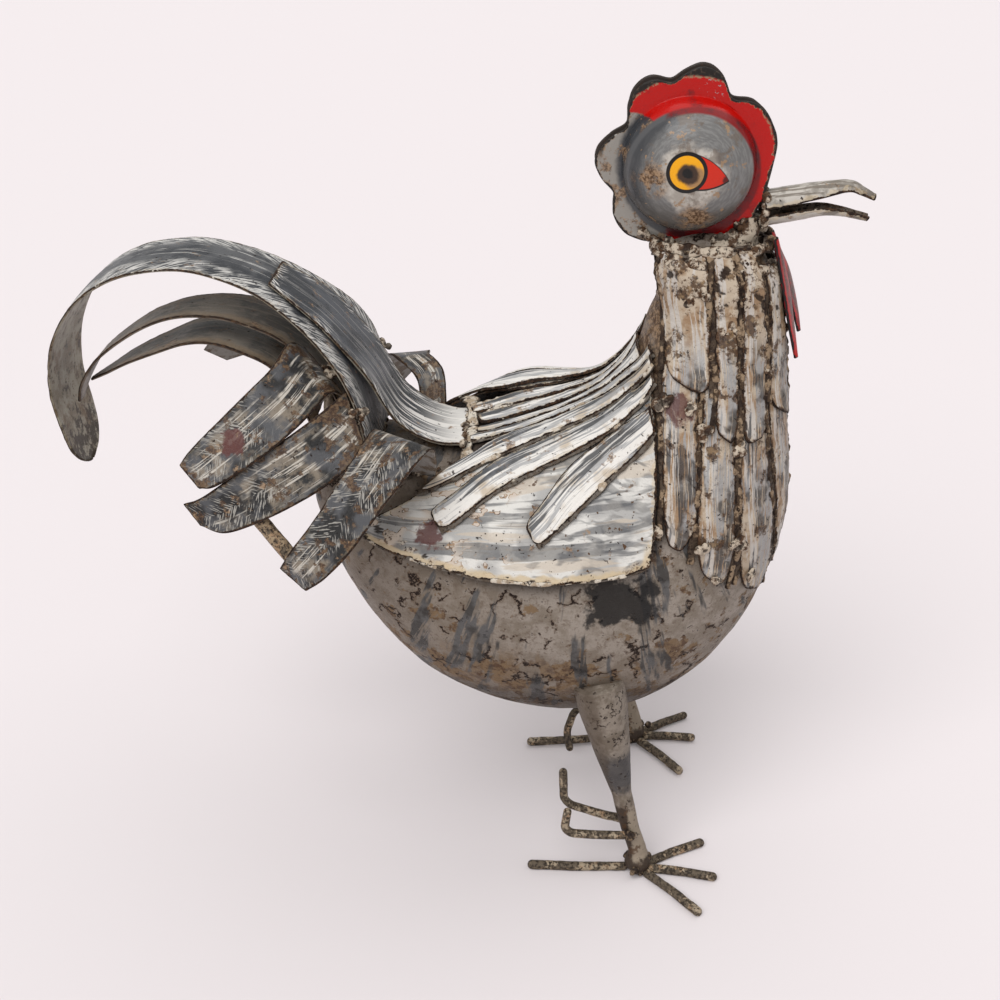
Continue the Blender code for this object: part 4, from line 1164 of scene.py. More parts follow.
def body_shell():
    """Rings of the shell's ellipses, drawn in to a low crusty shoulder at the neck and a round rump."""
    rows, around = BODY_ROWS, BODY_AROUND
    turn = np.linspace(0, BODY_SECTIONS[-1, 0], rows)
    girth = np.linspace(-180, 180, around, endpoint=False)
    turns, girths = np.meshgrid(turn, girth, indexing="ij")
    rings = skin(turns, girths)
    normals = grid_normals(rings)
    rough = 0.16 + 0.5 * between(turns, 18, 6)
    rings, relief = weathered(rings, normals, 5, rough, dent=0.0009, crust=0.0007)
    # Painted shade: the paint darkens the shell where it lies under the wing plates and strips, and between
    # the neck strips
    shade_under_strips = between(np.abs(girths), 98, 106) * between(turns, 50, 60)
    neck = between(turns, 62, 52) * between(turns, -5, 4) * between(np.abs(girths), 8, 34)
    shade_under_strips = np.maximum(shade_under_strips, neck)
    shade_under_strips *= between(turns, 126, 118)
    caps = []
    for ring, way in ((rings[0], NECK_CAP_WAY), (rings[-1], RUMP_CAP_WAY)):
        middle = ring.mean(0)
        caps.append([middle + (ring - middle) * CAP_NARROWING**k * (1 - 0.06 * k) + way * CAP_STEP * k
                     for k in range(1, CAP_ROWS + 1)])
    shape = np.concatenate([np.array(caps[0])[::-1], rings, np.array(caps[1])])
    shape[:CAP_ROWS] += (lumps(shape[:CAP_ROWS], 0.006, 17, 3)[..., None]) * 0.0012
    all_rows = len(shape)

    def stretched(values, start, end):
        before, after = (np.repeat(value[None], CAP_ROWS, 0) for value in (start, end))
        return np.concatenate([before, values, after])

    girth_row = np.abs(girth) / 100
    sheet = np.stack([stretched(turns / 100, turns[0] / 100, turns[-1] / 100),
                      np.broadcast_to(girth_row, (all_rows, around))], -1).reshape(-1, 2)
    sheet = np.concatenate([sheet, sheet[:1], sheet[-1:]])
    relief = stretched(relief, relief[0], relief[-1]).ravel()
    # The painted shade goes to the paint as the fact shade
    shade = stretched(shade_under_strips, shade_under_strips[0] * 0, shade_under_strips[-1]).ravel() * 0.85
    return put_piece("body_shell", tube_points(shape), tube_faces(all_rows, around), BELLY, "belly_paint",
                     ("body",), sheet=sheet, relief=np.append(relief, [0, 0]),
                     shade=np.append(shade, [0, 0]))


body_shell()

# Feathers on the shell: each strip's lower and upper edge as (turn, girth)
STRIPS_ON_BACK = 2
STRIP_INSET = 0.0003
STRIP_TIP = 0.05
WING_TOP = [(63, 148), (78, 163.5), (98, 168.3), (111, 165), (122, 146)]
WING_LOW = [(77.5, 101), (89, 105), (103, 105.5), (117, 101.5), (131, 89)]
WING_STRIPS = [
    ([(64, 164.0), (77, 173), (97, 175.5), (119, 173)],
     [(63.5, 178.4), (77, 179.3), (97, 179.3), (118, 179.3)]),
    ([(57, 151.5), (76, 166.5), (96, 170.3), (110, 168.3), (120, 166.5)],
     [(57, 158), (76, 171.3), (96, 174.6), (110, 174), (119.5, 172)]),
    ([(58, 147), (72, 156), (88, 160.3), (104, 158.5), (116, 149), (125, 128)],
     [(57, 150.6), (72, 162), (88, 168), (104, 167.6), (113, 164), (121, 150)]),
    ([(61, 142.5), (74, 147.5), (88, 149), (102, 145), (111, 136), (118, 116)],
     [(60, 146), (74, 156), (88, 159.3), (103, 157.5), (114, 148), (121.5, 123)]),
    ([(67.5, 132), (76, 133.5), (84, 133), (92, 127), (99.5, 117.5)],
     [(66, 140.5), (76, 146.3), (85, 147.5), (94.5, 143), (103, 125)]),
]
NECK_STRIPS_UPPER = [
    ([(-3, 97), (28, 102), (48, 104)], [(-2, 152), (30, 152), (56, 139.5)]),
    ([(-3, 69), (28, 79), (51, 83)], [(-3, 94), (30, 99.8), (53, 101)]),
    ([(-2, 46), (25, 51), (45, 58)], [(-3, 66), (28, 76.5), (50, 81)]),
    ([(6, 14), (25, 16), (41, 18)], [(5, 43), (25, 48.5), (40, 54)]),
]
NECK_STRIPS_LOWER = [
    ([(42, 114), (58, 107), (69.5, 90)], [(54, 141), (64.5, 134), (74.5, 104)]),
    ([(42, 85), (55, 80), (66, 62)], [(44, 111), (60, 105), (70, 87)]),
    ([(38, 57), (50, 51), (62, 24)], [(41, 82), (55, 77.5), (65, 59.5)]),
    ([(33, 5), (47, 5), (60, 6)], [(36, 52), (49, 48), (60, 22)]),
]


def wing_edge_crust(_turn, girth):
    return 0.9 * between(np.abs(girth), 108, 103)


def neck_crust(turn, _girth):
    """Weld spatter is thickest at the top of the neck."""
    return 0.25 + 0.7 * between(turn, 26, 10)


for side, word in ((-1, "right"), (1, "left")):
    seed = 40 if side < 0 else 90
    on_shell(f"wing_{word}", WING_LOW, WING_TOP, side, wing_lift, WING, "feather_paint", seed, crown=0.0,
             rough=0.12, rough_at=wing_edge_crust, ragged=0.0008)
    kept = WING_STRIPS if side < 0 else WING_STRIPS[:4]
    for number, (low, high) in enumerate(kept, 1):
        lift = back_lift if number <= STRIPS_ON_BACK else strip_lift
        on_shell(f"wing_strip_{word}_{number}", low, high, side, lift, STRIP, "feather_paint", seed + number,
                 crown=0.0009, rough=0.08, edge_rough=0.5, inset=STRIP_INSET, ragged=0.0005, tip=STRIP_TIP,
                 blunt=0.6)
    for number, (low, high) in enumerate(NECK_STRIPS_UPPER + NECK_STRIPS_LOWER, 1):
        upper = number < 5
        on_shell(f"neck_strip_{word}_{number}", low, high, side, 2 * WELD_GAP + SHEET if upper else WELD_GAP,
                 NECK, "neck_paint", seed + 10 + number, crown=0.0007, rough=0.3, rough_at=neck_crust,
                 crust=0.0009, dent=0.0009, inset=0.0007, ragged=0.0009, tip=0.12 if upper else 0.2,
                 blunt=0.4 if upper else 0.2)


# Head

HEAD_AROUND = 216
# The domed wall's foot: how far beyond the dome's radius and what share of the wall's last height
WALL_FOOT = [(0.0004, 0.55), (0.0010, 0.20), (0.0018, 0.04)]


def head_plate(name, side, seed):
    """Pressed plate: a dome, its steep wall with a rounded foot, and a flat scalloped rim.

    The height over the flat is the dome's up to its radius, then falls to nothing over the foot.
    """
    around, flat = HEAD_AROUND, HEAD_PLATE_SPACE / 2
    angle = full_turn(around)
    turns, radii = np.array(COMB_OUTLINE).T
    turns = np.concatenate([turns - 360, turns, turns + 360])
    rim = smooth(turns, np.tile(radii, 3), np.degrees(angle))
    spoke = np.stack([np.cos(angle), np.sin(angle), angle * 0], -1)
    rim = rim + lumps(rim[:, None] * spoke, 0.008, seed) * 0.0004
    inner_rows = np.linspace(0.02, 0.93, 34)
    wall_rows = np.linspace(0.94, 1.0, 12)
    share = np.concatenate([inner_rows, wall_rows])
    dome = DOME_HEIGHT * np.sqrt(1 - 0.97 * share**2.4)
    beyond, shares = np.array(WALL_FOOT).T
    foot = DOME_HEIGHT * np.sqrt(1 - 0.97) * shares
    dome = np.where(share > 0.985, dome * 0.92, dome)
    radius = [np.full(around, DOME_RADIUS * s) for s in share]
    radius += [np.full(around, DOME_RADIUS + extra) for extra in beyond]
    height = list(dome) + list(foot)
    for k in np.linspace(0.08, 1, 14):
        radius.append(DOME_RADIUS + beyond[-1] + (rim - DOME_RADIUS - beyond[-1]) * k)
        height.append(0.0)
    radius, height = np.array(radius), np.array(height)[:, None]
    face = np.stack([HEAD_X + radius * np.cos(angle), np.broadcast_to(flat + height, radius.shape),
                     HEAD_Z + radius * np.sin(angle)], -1)
    face[..., 1] += lumps(face, 0.022, seed + 1, 2) * 0.0005
    normals = -grid_normals(np.concatenate([face, face[:, :1]], axis=1))[:, :-1]
    normals *= np.sign((normals[..., 1:2]).mean())
    outer = face + normals * SHEET
    poles = np.array([[HEAD_X, outer[0, :, 1].mean(), HEAD_Z], [HEAD_X, face[0, :, 1].mean(), HEAD_Z]])
    edge = (outer[-1] + face[-1]) / 2 + unit(spoke[:, [0, 2, 1]]) * SHEET / 3
    rows = len(face)
    rings = np.concatenate([outer, edge[None], face[::-1]])
    rings[..., 1] *= side
    poles[:, 1] *= side
    distance = np.concatenate([rim - radius, np.zeros((1, around)), (rim - radius)[::-1]]).ravel()
    back = np.repeat(np.concatenate([np.zeros(rows), [0.5], np.ones(rows)]), around)
    faces = tube_faces(2 * rows + 1, around)
    if side < 0:
        faces = [quad[::-1] for quad in faces]
    vertices = np.concatenate([rings.reshape(-1, 3), poles])
    return put_piece(name, vertices, faces, HEAD, "head_paint", (name,),
                     rim=np.append(distance, [0.03, 0.03]), back=np.append(back, [0, 1]))


head_plate("head_plate_right", -1, 21)
head_plate("head_plate_left", 1, 31)


def trough(name, path, radii, up, seed):
    """Half tube along a path from the middle of the dome, open below where up is 1, above where -1."""
    stations, columns = 64, 26
    axis = through(path, stations) + np.array([HEAD_X, HEAD_Z])
    radius = through(radii, stations)
    slope = unit(np.gradient(axis, axis=0))
    rise = np.stack([-slope[:, 1], slope[:, 0]], -1) * up
    fold = np.radians(np.linspace(-84, 84, columns)) * up

    def wall(radius):
        points = np.zeros((stations, columns, 3))
        points[..., 0] = axis[:, None, 0] + radius[:, None] * np.cos(fold) * rise[:, None, 0]
        points[..., 2] = axis[:, None, 1] + radius[:, None] * np.cos(fold) * rise[:, None, 1]
        points[..., 1] = radius[:, None] * np.sin(fold)
        return points

    outer, inner = wall(radius), wall(radius - SHEET)
    ways = unit(outer - inner)
    outer, relief = weathered(outer, ways, seed, 0.35, dent=0.0003, crust=0.0004)
    if (grid_normals(outer)[stations // 2, columns // 2] @ ways[stations // 2, columns // 2]) < 0:
        outer, inner, relief = outer[:, ::-1], inner[:, ::-1], relief[:, ::-1]
    return slab(name, outer, inner, BEAK, "head_paint", relief)


trough("upper_beak", [(0.0440, -0.0252), (0.0612, -0.0212), (0.0748, -0.0179), (0.0890, -0.0145),
                      (0.0960, -0.0163), (0.1040, -0.0195)],
       [0.0098, 0.0091, 0.0079, 0.0056, 0.0044, 0.0033], 1, 51)
trough("lower_beak", [(0.0397, -0.0290), (0.0618, -0.0250), (0.0756, -0.0233), (0.0870, -0.0248),
                      (0.1025, -0.0287)], [0.0078, 0.0072, 0.0062, 0.0048, 0.0035], -1, 53)


# Bands bent in the air

def band(name, path, halves, finish, slot, seed, crown=0.0, rough=0.12, edge_rough=0.5, wave=0.0, tip=0.0):
    """Sheet strip along a path; halves are its half width vectors at the same control points.

    Its middle stands off by crown on its upper face, its edges wave a little, and the last metres
    of it, tip, round off like a half circle.
    """
    stations = int(run_lengths(through(path, 200))[-1] / CELL) + 2
    widest = 2 * np.linalg.norm(np.array(halves, float), axis=-1).max()
    columns = max(int(widest / CELL), 6) + 1
    centre = through(path, stations)
    half = through(halves, stations)
    if tip:
        walked = run_lengths(centre)
        past = np.clip((walked - walked[-1] + tip) / tip, 0, 1)
        half = half * np.sqrt(1 - 0.995 * past**2)[:, None]
    along = np.gradient(centre, axis=0)
    normal = unit(np.cross(along, half))
    if normal[stations // 2, 2] < 0:
        normal, half = -normal, -half
    across = np.linspace(-1, 1, columns)
    points = centre[:, None] + half[:, None] * across[:, None]
    height = crown * (1 - across**2) + wave * lumps(points, 0.05, seed + 2, 1) * across**2
    points = points + normal[:, None] * height[..., None]
    facing = grid_normals(points)
    if (facing[stations // 2, columns // 2] @ normal[stations // 2]) < 0:
        facing = -facing
    outer, inner = points + facing * SHEET / 2, points - facing * SHEET / 2
    rim = measured(points)[2]
    amount = np.maximum(rough, edge_rough * between(rim, 0.0026, 0.0005))
    outer, relief = weathered(outer, facing, seed, amount, dent=0.0004, crust=0.0004)
    if (grid_normals(outer)[stations // 2, columns // 2] @ facing[stations // 2, columns // 2]) < 0:
        outer, inner, relief = outer[:, ::-1], inner[:, ::-1], relief[:, ::-1]
    return slab(name, outer, inner, finish, slot, relief)


def drawn(points):
    """Control points of the drawing, moved with the bird's middle onto the origin."""
    return [(x - DRAWN_BEHIND, y, z) for x, y, z in points]


def flat_band(path_xz, halves, y=0.0):
    """Control points and half width vectors of a band that lies square to the mid plane."""
    return drawn([(x, y, z) for x, z in path_xz]), [(0, half, 0) for half in halves]


MAIN_SICKLE = [(-0.040, 0.2885), (-0.046, 0.320), (-0.057, 0.345), (-0.076, 0.366), (-0.101, 0.384),
               (-0.126, 0.394), (-0.153, 0.398), (-0.187, 0.392), (-0.213, 0.375), (-0.230, 0.348),
               (-0.235, 0.318), (-0.231, 0.289), (-0.227, 0.268), (-0.226, 0.262)]
MAIN_SICKLE_HALVES = [0.050, 0.050, 0.049, 0.042, 0.034, 0.031, 0.030, 0.029, 0.029, 0.029, 0.029,
                      0.027, 0.022, 0.018]
SICKLE_CROWN = 0.0012
band("main_sickle", *flat_band(MAIN_SICKLE, MAIN_SICKLE_HALVES), SICKLE, "tail_paint", 61,
     crown=SICKLE_CROWN, wave=0.0012, tip=0.020)

OVERLAY_RISE = SHEET + WELD_GAP + SICKLE_CROWN
overlay = []
for k in (4, 3, 2):
    (x, z), before, after = MAIN_SICKLE[k], MAIN_SICKLE[k - 1], MAIN_SICKLE[k + 1]
    run = unit(np.array([before[0] - after[0], before[1] - after[1]]))
    overlay.append((x - OVERLAY_RISE * run[1], z + OVERLAY_RISE * run[0]))
overlay += [(-0.042, 0.331), (-0.035, 0.318), (-0.027, 0.306), (-0.015, 0.297), (-0.001, 0.2915),
            (0.013, 0.2905)]
band("sickle_overlay", *flat_band(overlay, [0.020, 0.027, 0.028, 0.028, 0.028, 0.028, 0.028, 0.027, 0.025]),
     OVERLAY, "tail_paint", 63)
band("second_sickle", *flat_band(
    [(-0.057, 0.302), (-0.064, 0.322), (-0.075, 0.339), (-0.090, 0.353), (-0.108, 0.362), (-0.132, 0.367),
     (-0.158, 0.365), (-0.182, 0.355), (-0.208, 0.336), (-0.221, 0.318), (-0.2265, 0.304)],
    [0.024, 0.024, 0.024, 0.024, 0.023, 0.020, 0.017, 0.015, 0.013, 0.010, 0.004], y=-0.003),
    INNER_SICKLE, "tail_paint", 65)
band("third_sickle", *flat_band(
    [(-0.0785, 0.300), (-0.083, 0.313), (-0.090, 0.326), (-0.101, 0.340), (-0.117, 0.348), (-0.135, 0.352),
     (-0.152, 0.350), (-0.170, 0.343), (-0.190, 0.334), (-0.206, 0.3245), (-0.2180, 0.3175)],
    [0.024, 0.025, 0.026, 0.027, 0.027, 0.024, 0.021, 0.018, 0.014, 0.008, 0.002], y=-0.002),
    INNER_SICKLE, "tail_paint", 67)

COVERT_HALVES_1 = [(0.0125, -0.008, -0.0115), (0.0125, -0.008, -0.0115), (0.010, -0.008, -0.012),
                   (0.009, -0.009, -0.011), (0.008, -0.006, -0.008), (0.006, -0.004, -0.005)]
COVERT_HALVES_2 = [(0.006, -0.009, -0.012), (0.009, -0.008, -0.012), (0.009, -0.006, -0.0135),
                   (0.009, -0.005, -0.012), (0.007, -0.004, -0.009), (0.005, -0.003, -0.005)]
SADDLE_PATH = [(-0.015, 0.040, 0.2784), (-0.016, 0.056, 0.300), (-0.019, 0.073, 0.315),
               (-0.035, 0.094, 0.298), (-0.053, 0.109, 0.274), (-0.068, 0.113, 0.256),
               (-0.078, 0.108, 0.243)]
SADDLE_HALVES = [(0.012, -0.004, 0), (0.016, -0.009, 0), (0.017, -0.012, 0), (0.0125, -0.012, -0.004),
                 (0.011, -0.009, -0.005), (0.010, -0.006, -0.005), (0.008, -0.005, -0.004)]
SIDE_BANDS = {
    # name: side, control points and half widths as if on the left
    "tail_covert_right_1": (-1, [(-0.068, 0.031, 0.338), (-0.075, 0.041, 0.344), (-0.085, 0.060, 0.335),
                                 (-0.104, 0.078, 0.321), (-0.128, 0.088, 0.303), (-0.137, 0.089, 0.297)],
                            COVERT_HALVES_1),
    "tail_covert_right_2": (-1, [(-0.0475, 0.053, 0.319), (-0.056, 0.067, 0.313), (-0.069, 0.078, 0.305),
                                 (-0.094, 0.091, 0.292), (-0.122, 0.096, 0.277), (-0.137, 0.092, 0.274)],
                            COVERT_HALVES_2),
    "tail_covert_left_1": (1, [(-0.068, 0.028, 0.337), (-0.078, 0.040, 0.343), (-0.097, 0.052, 0.338),
                               (-0.125, 0.058, 0.327), (-0.146, 0.060, 0.316), (-0.157, 0.060, 0.309)],
                           COVERT_HALVES_1),
    "tail_covert_left_2": (1, [(-0.0475, 0.053, 0.319), (-0.057, 0.067, 0.313), (-0.074, 0.080, 0.303),
                               (-0.098, 0.090, 0.288), (-0.120, 0.092, 0.274), (-0.132, 0.090, 0.268)],
                           COVERT_HALVES_2),
    "saddle_strip_right": (-1, SADDLE_PATH, SADDLE_HALVES),
    "saddle_strip_left": (
        1, [(-0.012, 0.038, 0.2790), (-0.015, 0.052, 0.301), (-0.027, 0.066, 0.308)] + SADDLE_PATH[3:],
        [(0.008, -0.002, 0), (0.008, -0.003, 0.002), (0.009, -0.006, 0)] + SADDLE_HALVES[3:]),
}
for seed, (name, (side, path, halves)) in enumerate(SIDE_BANDS.items(), 71):
    band(name, drawn([(x, side * y, z) for x, y, z in path]), [(x, -side * y, z) for x, y, z in halves],
         COVERT, "tail_paint", seed)

WATTLE_HALF = 0.0095
WATTLE_SLANT = (0.22, 0.97, 0)
WATTLE_SHAPE = [0.35, 0.75, 1.0, 0.95, 0.6, 0.15]
THROAT_X = FAN_X + BODY_SECTIONS[0, 2]
WATTLES = {
    "wattle_right": [(0.0075, -0.009, 0.0055), (0.0120, -0.010, -0.009), (0.0160, -0.011, -0.023),
                     (0.0192, -0.012, -0.037), (0.0223, -0.013, -0.051), (0.0250, -0.013, -0.064)],
    "wattle_left": [(0.0075, 0.009, 0.004), (0.0125, 0.009, -0.008), (0.0180, 0.009, -0.020),
                    (0.0225, 0.009, -0.033), (0.0260, 0.009, -0.045), (0.0285, 0.009, -0.056)],
}
for seed, (name, path) in enumerate(WATTLES.items(), 81):
    band(name, [(THROAT_X + x, y, FAN_Z + z) for x, y, z in path],
         [[way * WATTLE_HALF * share for way in WATTLE_SLANT] for share in WATTLE_SHAPE],
         LEAF, "red_paint", seed, crown=0.0012, rough=0.0, edge_rough=0.2)


# Round bar

def rounded_run(points, bend):
    """A path resampled evenly, with its corners eased over about twice bend."""
    points = np.asarray(points, float)
    walked = run_lengths(points)
    step = 0.0008
    fine = np.linspace(0, walked[-1], max(int(walked[-1] / step), 8))
    line = np.stack([np.interp(fine, walked, points[:, k]) for k in range(3)], -1)
    reach = max(int(bend / step), 1)
    padded = np.concatenate([2 * line[0] - line[reach:0:-1], line, 2 * line[-1] - line[-2:-reach - 2:-1]])
    kernel = np.hanning(2 * reach + 3)[1:-1]
    kernel /= kernel.sum()
    return np.stack([np.convolve(padded[:, k], kernel, "valid") for k in range(3)], -1)


BAR_STEP = 0.0009
BAR_AROUND = 26


def rod(name, points, radius, beside, finish, slot, seed, bend=0.003, rough=0.35, round_start=True):
    """Round bar along a path: rings across the path, set out from a direction beside it.

    radius is one number or one for each given point; ends round over like a quarter circle.
    """
    points = np.asarray(points, float)
    line = rounded_run(points, bend)
    walked = run_lengths(line)
    thick = np.broadcast_to(radius, len(points)).astype(float)
    given = run_lengths(points) * walked[-1] / run_lengths(points)[-1]
    ends = []
    for at_end in (0, 1):
        cap = thick[-at_end] * (1 - np.cos(np.linspace(0.12, np.pi / 2, 6)))
        ends.append(cap if at_end == 0 else walked[-1] - cap[::-1])
    if not round_start:
        ends[0] = np.array([0.0])
    inside = np.arange(ends[0][-1] + BAR_STEP, ends[1][0] - BAR_STEP, BAR_STEP)
    place = np.concatenate([ends[0], inside, ends[1]])
    centre = np.stack([np.interp(place, walked, line[:, k]) for k in range(3)], -1)
    size = np.interp(place, given, thick)
    for end, distance in ((0, place), (1, walked[-1] - place)):
        if end == 0 and not round_start:
            continue
        near = np.clip(distance / thick[-end], 0, 1)
        size = size * np.sqrt(np.maximum(1 - (1 - near)**2, 0))
    way = unit(np.gradient(centre, axis=0))
    side = unit(np.cross(way, np.asarray(beside, float)))
    up = np.cross(side, way)
    angle = full_turn(BAR_AROUND)[None, :, None]
    spoke = side[:, None] * np.cos(angle) + up[:, None] * np.sin(angle)
    rings = centre[:, None] + spoke * size[:, None, None]
    amount = rough * np.clip(size / thick.max(), 0, 1)[:, None]
    rings, relief = weathered(rings, spoke, seed, np.broadcast_to(amount, rings.shape[:2]), dent=0.00025,
                              crust=0.0004)
    return put_piece(name, tube_points(rings), tube_faces(len(rings), BAR_AROUND), finish, slot, (name,),
                     relief=np.append(relief.ravel(), [0, 0]))


TOE_HEIGHT = TOE_BAR / 2 * 0.924
FOOT_BLOB = 0.0105
THIGH_TOP = 0.016
# Each toe's length and its degrees from straight ahead toward the left
TOES_RIGHT = [(0.053, 30), (0.053, -8), (0.057, -46), (0.073, -178)]
TOES_LEFT = [(0.051, 34), (0.047, 0), (0.054, -50), (0.080, -171)]
SHANK = SHANK_BAR / 2
LEG_STATIONS = [
    # metres behind the foot's middle, share of the foot's y, height, radius
    (0.031, 0.94, 0.150, THIGH_TOP), (0.027, 0.95, 0.130, THIGH_TOP * 0.97),
    (0.020, 0.97, 0.098, THIGH_TOP * 0.72), (0.013, 0.99, 0.066, SHANK * 1.08),
    (0.006, 1, 0.036, SHANK), (0, 1, 0.017, SHANK), (0, 1, 0.010, FOOT_BLOB * 0.8),
    (0, 1, 0.003, FOOT_BLOB * 0.85), (0, 1, 0.0008, FOOT_BLOB * 0.7),
]
for side, word, plan in ((-1, "right", TOES_RIGHT), (1, "left", TOES_LEFT)):
    y = side * FOOT_Y
    behind, spread, heights, radii = zip(*LEG_STATIONS)
    rod(f"leg_{word}", [(FOOT_X - x, y * share, z) for x, share, z in zip(behind, spread, heights)], radii,
        (0, 1, 0), LEG, "bar_steel", 101 + side, bend=0.004, rough=0.5, round_start=False)
    for number, (length, angle) in enumerate(plan, 1):
        turn = radians(angle)
        way = np.array([np.cos(turn), np.sin(turn), 0])
        hub = np.array([FOOT_X, y, TOE_HEIGHT])
        bow = np.array([-way[1], way[0], 0]) * 0.0010
        path = [hub + way * 0.006, hub + way * (0.55 * length) + bow, hub + way * length]
        rod(f"toe_{word}_{number}", path, TOE_BAR / 2, (0, 0, 1), BAR, "bar_steel", 110 + number + 5 * side)

SHANK_SIDE = SHANK + SPUR_BAR / 2 - 0.0006
NEAR_INNER = -FOOT_Y + SHANK_SIDE
NEAR_OUTER = -FOOT_Y - SHANK_SIDE
FAR_INNER = FOOT_Y - SHANK_SIDE
SPURS = {
    # name: points as x from the foot's middle, y and height
    "spur_right_upper": [(-0.0105, NEAR_INNER, 0.0365), (-0.022, NEAR_INNER, 0.0385),
                         (-0.045, NEAR_INNER, 0.046), (-0.050, NEAR_INNER, 0.051),
                         (-0.051, NEAR_INNER, 0.076)],
    "spur_right_lower": [(-0.0080, NEAR_OUTER, 0.0365), (-0.030, NEAR_OUTER, 0.036),
                         (-0.045, NEAR_OUTER, 0.0365), (-0.049, NEAR_OUTER, 0.041),
                         (-0.047, NEAR_OUTER, 0.057)],
    "spur_left": [(-0.012, FAR_INNER, 0.050), (-0.032, FAR_INNER - 0.006, 0.0465),
                  (-0.045, FAR_INNER - 0.013, 0.038), (-0.0495, FAR_INNER - 0.018, 0.024),
                  (-0.0465, FAR_INNER - 0.021, 0.009)],
}
for seed, (name, path) in enumerate(SPURS.items(), 131):
    rod(name, [(FOOT_X + x, y, z) for x, y, z in path], SPUR_BAR / 2, (0, 1, 0), BAR, "bar_steel", seed,
        bend=0.005)
rod("tail_brace", drawn([(-0.1085, -0.0870, 0.2826), (-0.092, -0.0945, 0.265), (-0.077, -0.1004, 0.249)]),
    BRACE_BAR / 2, (0, 1, 0.3), BRACE, "bar_steel", 137)


# Tail root

def ellipse_loft(sections, origin, rows, around, rise):
    """Rings of a loft of level ellipses, and the ways to swell them, which rise by a share.

    A section is its middle's x and height from the origin, its half length and its half width.
    """
    table = through(sections, rows)
    angle = full_turn(around)
    shape = np.stack([origin[0] + table[:, :1] + table[:, 2:3] * np.cos(angle), table[:, 3:] * np.sin(angle),
                      np.broadcast_to(origin[1] + table[:, 1:2], (rows, around))], -1)
    way = np.stack([np.cos(angle), np.sin(angle), np.full(around, rise)], -1)
    return shape, np.broadcast_to(way, shape.shape)


TAIL_ROOT_SECTIONS = [(-0.0645, 0.2892, 0.009, 0.012), (-0.0665, 0.298, 0.008, 0.022),
                      (-0.070, 0.320, 0.004, 0.020)]


def tail_root():
    """Wedge that narrows upward from the rump's ridge, crusted with weld."""
    rows, around = 40, 64
    shape, way = ellipse_loft(TAIL_ROOT_SECTIONS, (-DRAWN_BEHIND, 0), rows, around, 0)
    shape, relief = weathered(shape, way, 141, np.full((rows, around), 0.8), dent=0.001, crust=0.0012)
    return put_piece("tail_root", tube_points(shape), tube_faces(rows, around), PALE_WELD, "belly_paint",
                     ("tail_root",), relief=np.append(relief.ravel(), [0, 0]))


tail_root()


THROAT_SECTIONS = [(0.0660, -0.004, 0.0270, 0.0205), (0.0660, 0.0000, 0.0270, 0.0195),
                   (0.0710, 0.0025, 0.0220, 0.0150), (0.0810, 0.006, 0.0125, 0.0120),
                   (0.0840, 0.011, 0.0095, 0.0105), (0.0860, 0.0165, 0.0070, 0.0080)]


def throat():
    """Crusty mound of weld on top of the neck, up to the plates' lower edge and the beak's root."""
    rows, around = 44, 120
    shape, way = ellipse_loft(THROAT_SECTIONS, (FAN_X, FAN_Z), rows, around, 0.5)
    knobs = lumps(shape, 0.009, 143, 3)
    shape = shape + way * (knobs * 0.0016)[..., None]
    return put_piece("throat_weld", tube_points(shape), tube_faces(rows, around), PALE_WELD, "neck_paint",
                     relief=np.append(knobs.ravel() * 1.6, [0, 0]))


throat()


# Weld lumps

def beads(name, places, sizes, finish, slot, seed, squat=0.75, normals=None):
    """Lumpy balls of weld in one mesh: unit balls scaled, roughened and set at their places."""
    places = np.asarray(places, float)
    sizes = np.broadcast_to(sizes, len(places)).astype(float)
    rows, around = 6, 9
    fall = np.linspace(0.28, np.pi - 0.28, rows)
    angle = full_turn(around)
    ball = np.stack([np.sin(fall)[:, None] * np.cos(angle), np.sin(fall)[:, None] * np.sin(angle),
                     np.broadcast_to(-np.cos(fall)[:, None], (rows, around))], -1).reshape(-1, 3)
    ball = np.concatenate([ball, [[0, 0, -1], [0, 0, 1]]])
    spread = ball[None] * sizes[:, None, None]
    if normals is not None:
        facing = np.asarray(normals, float)[:, None]
        spread = spread - facing * ((spread * facing).sum(-1, keepdims=True) * (1 - squat))
    cloud = places[:, None] + spread
    swell = lumps(cloud, 0.0030, seed, 2)
    cloud = places[:, None] + spread * (1 + 0.45 * swell[..., None])
    one = tube_faces(rows, around)
    faces = [[corner + k * len(ball) for corner in face] for k in range(len(places)) for face in one]
    return put_piece(name, cloud.reshape(-1, 3), faces, finish, slot, relief=swell.ravel() * 2)


WELD_STEP = 0.0012
WELD_COLUMNS = 9
WELD_SINK = 0.0006


def on_top(lift):
    """Height of the upper face of a sheet that lies at a height of lift."""
    return lambda turn, girth: lift(turn, girth) + SHEET


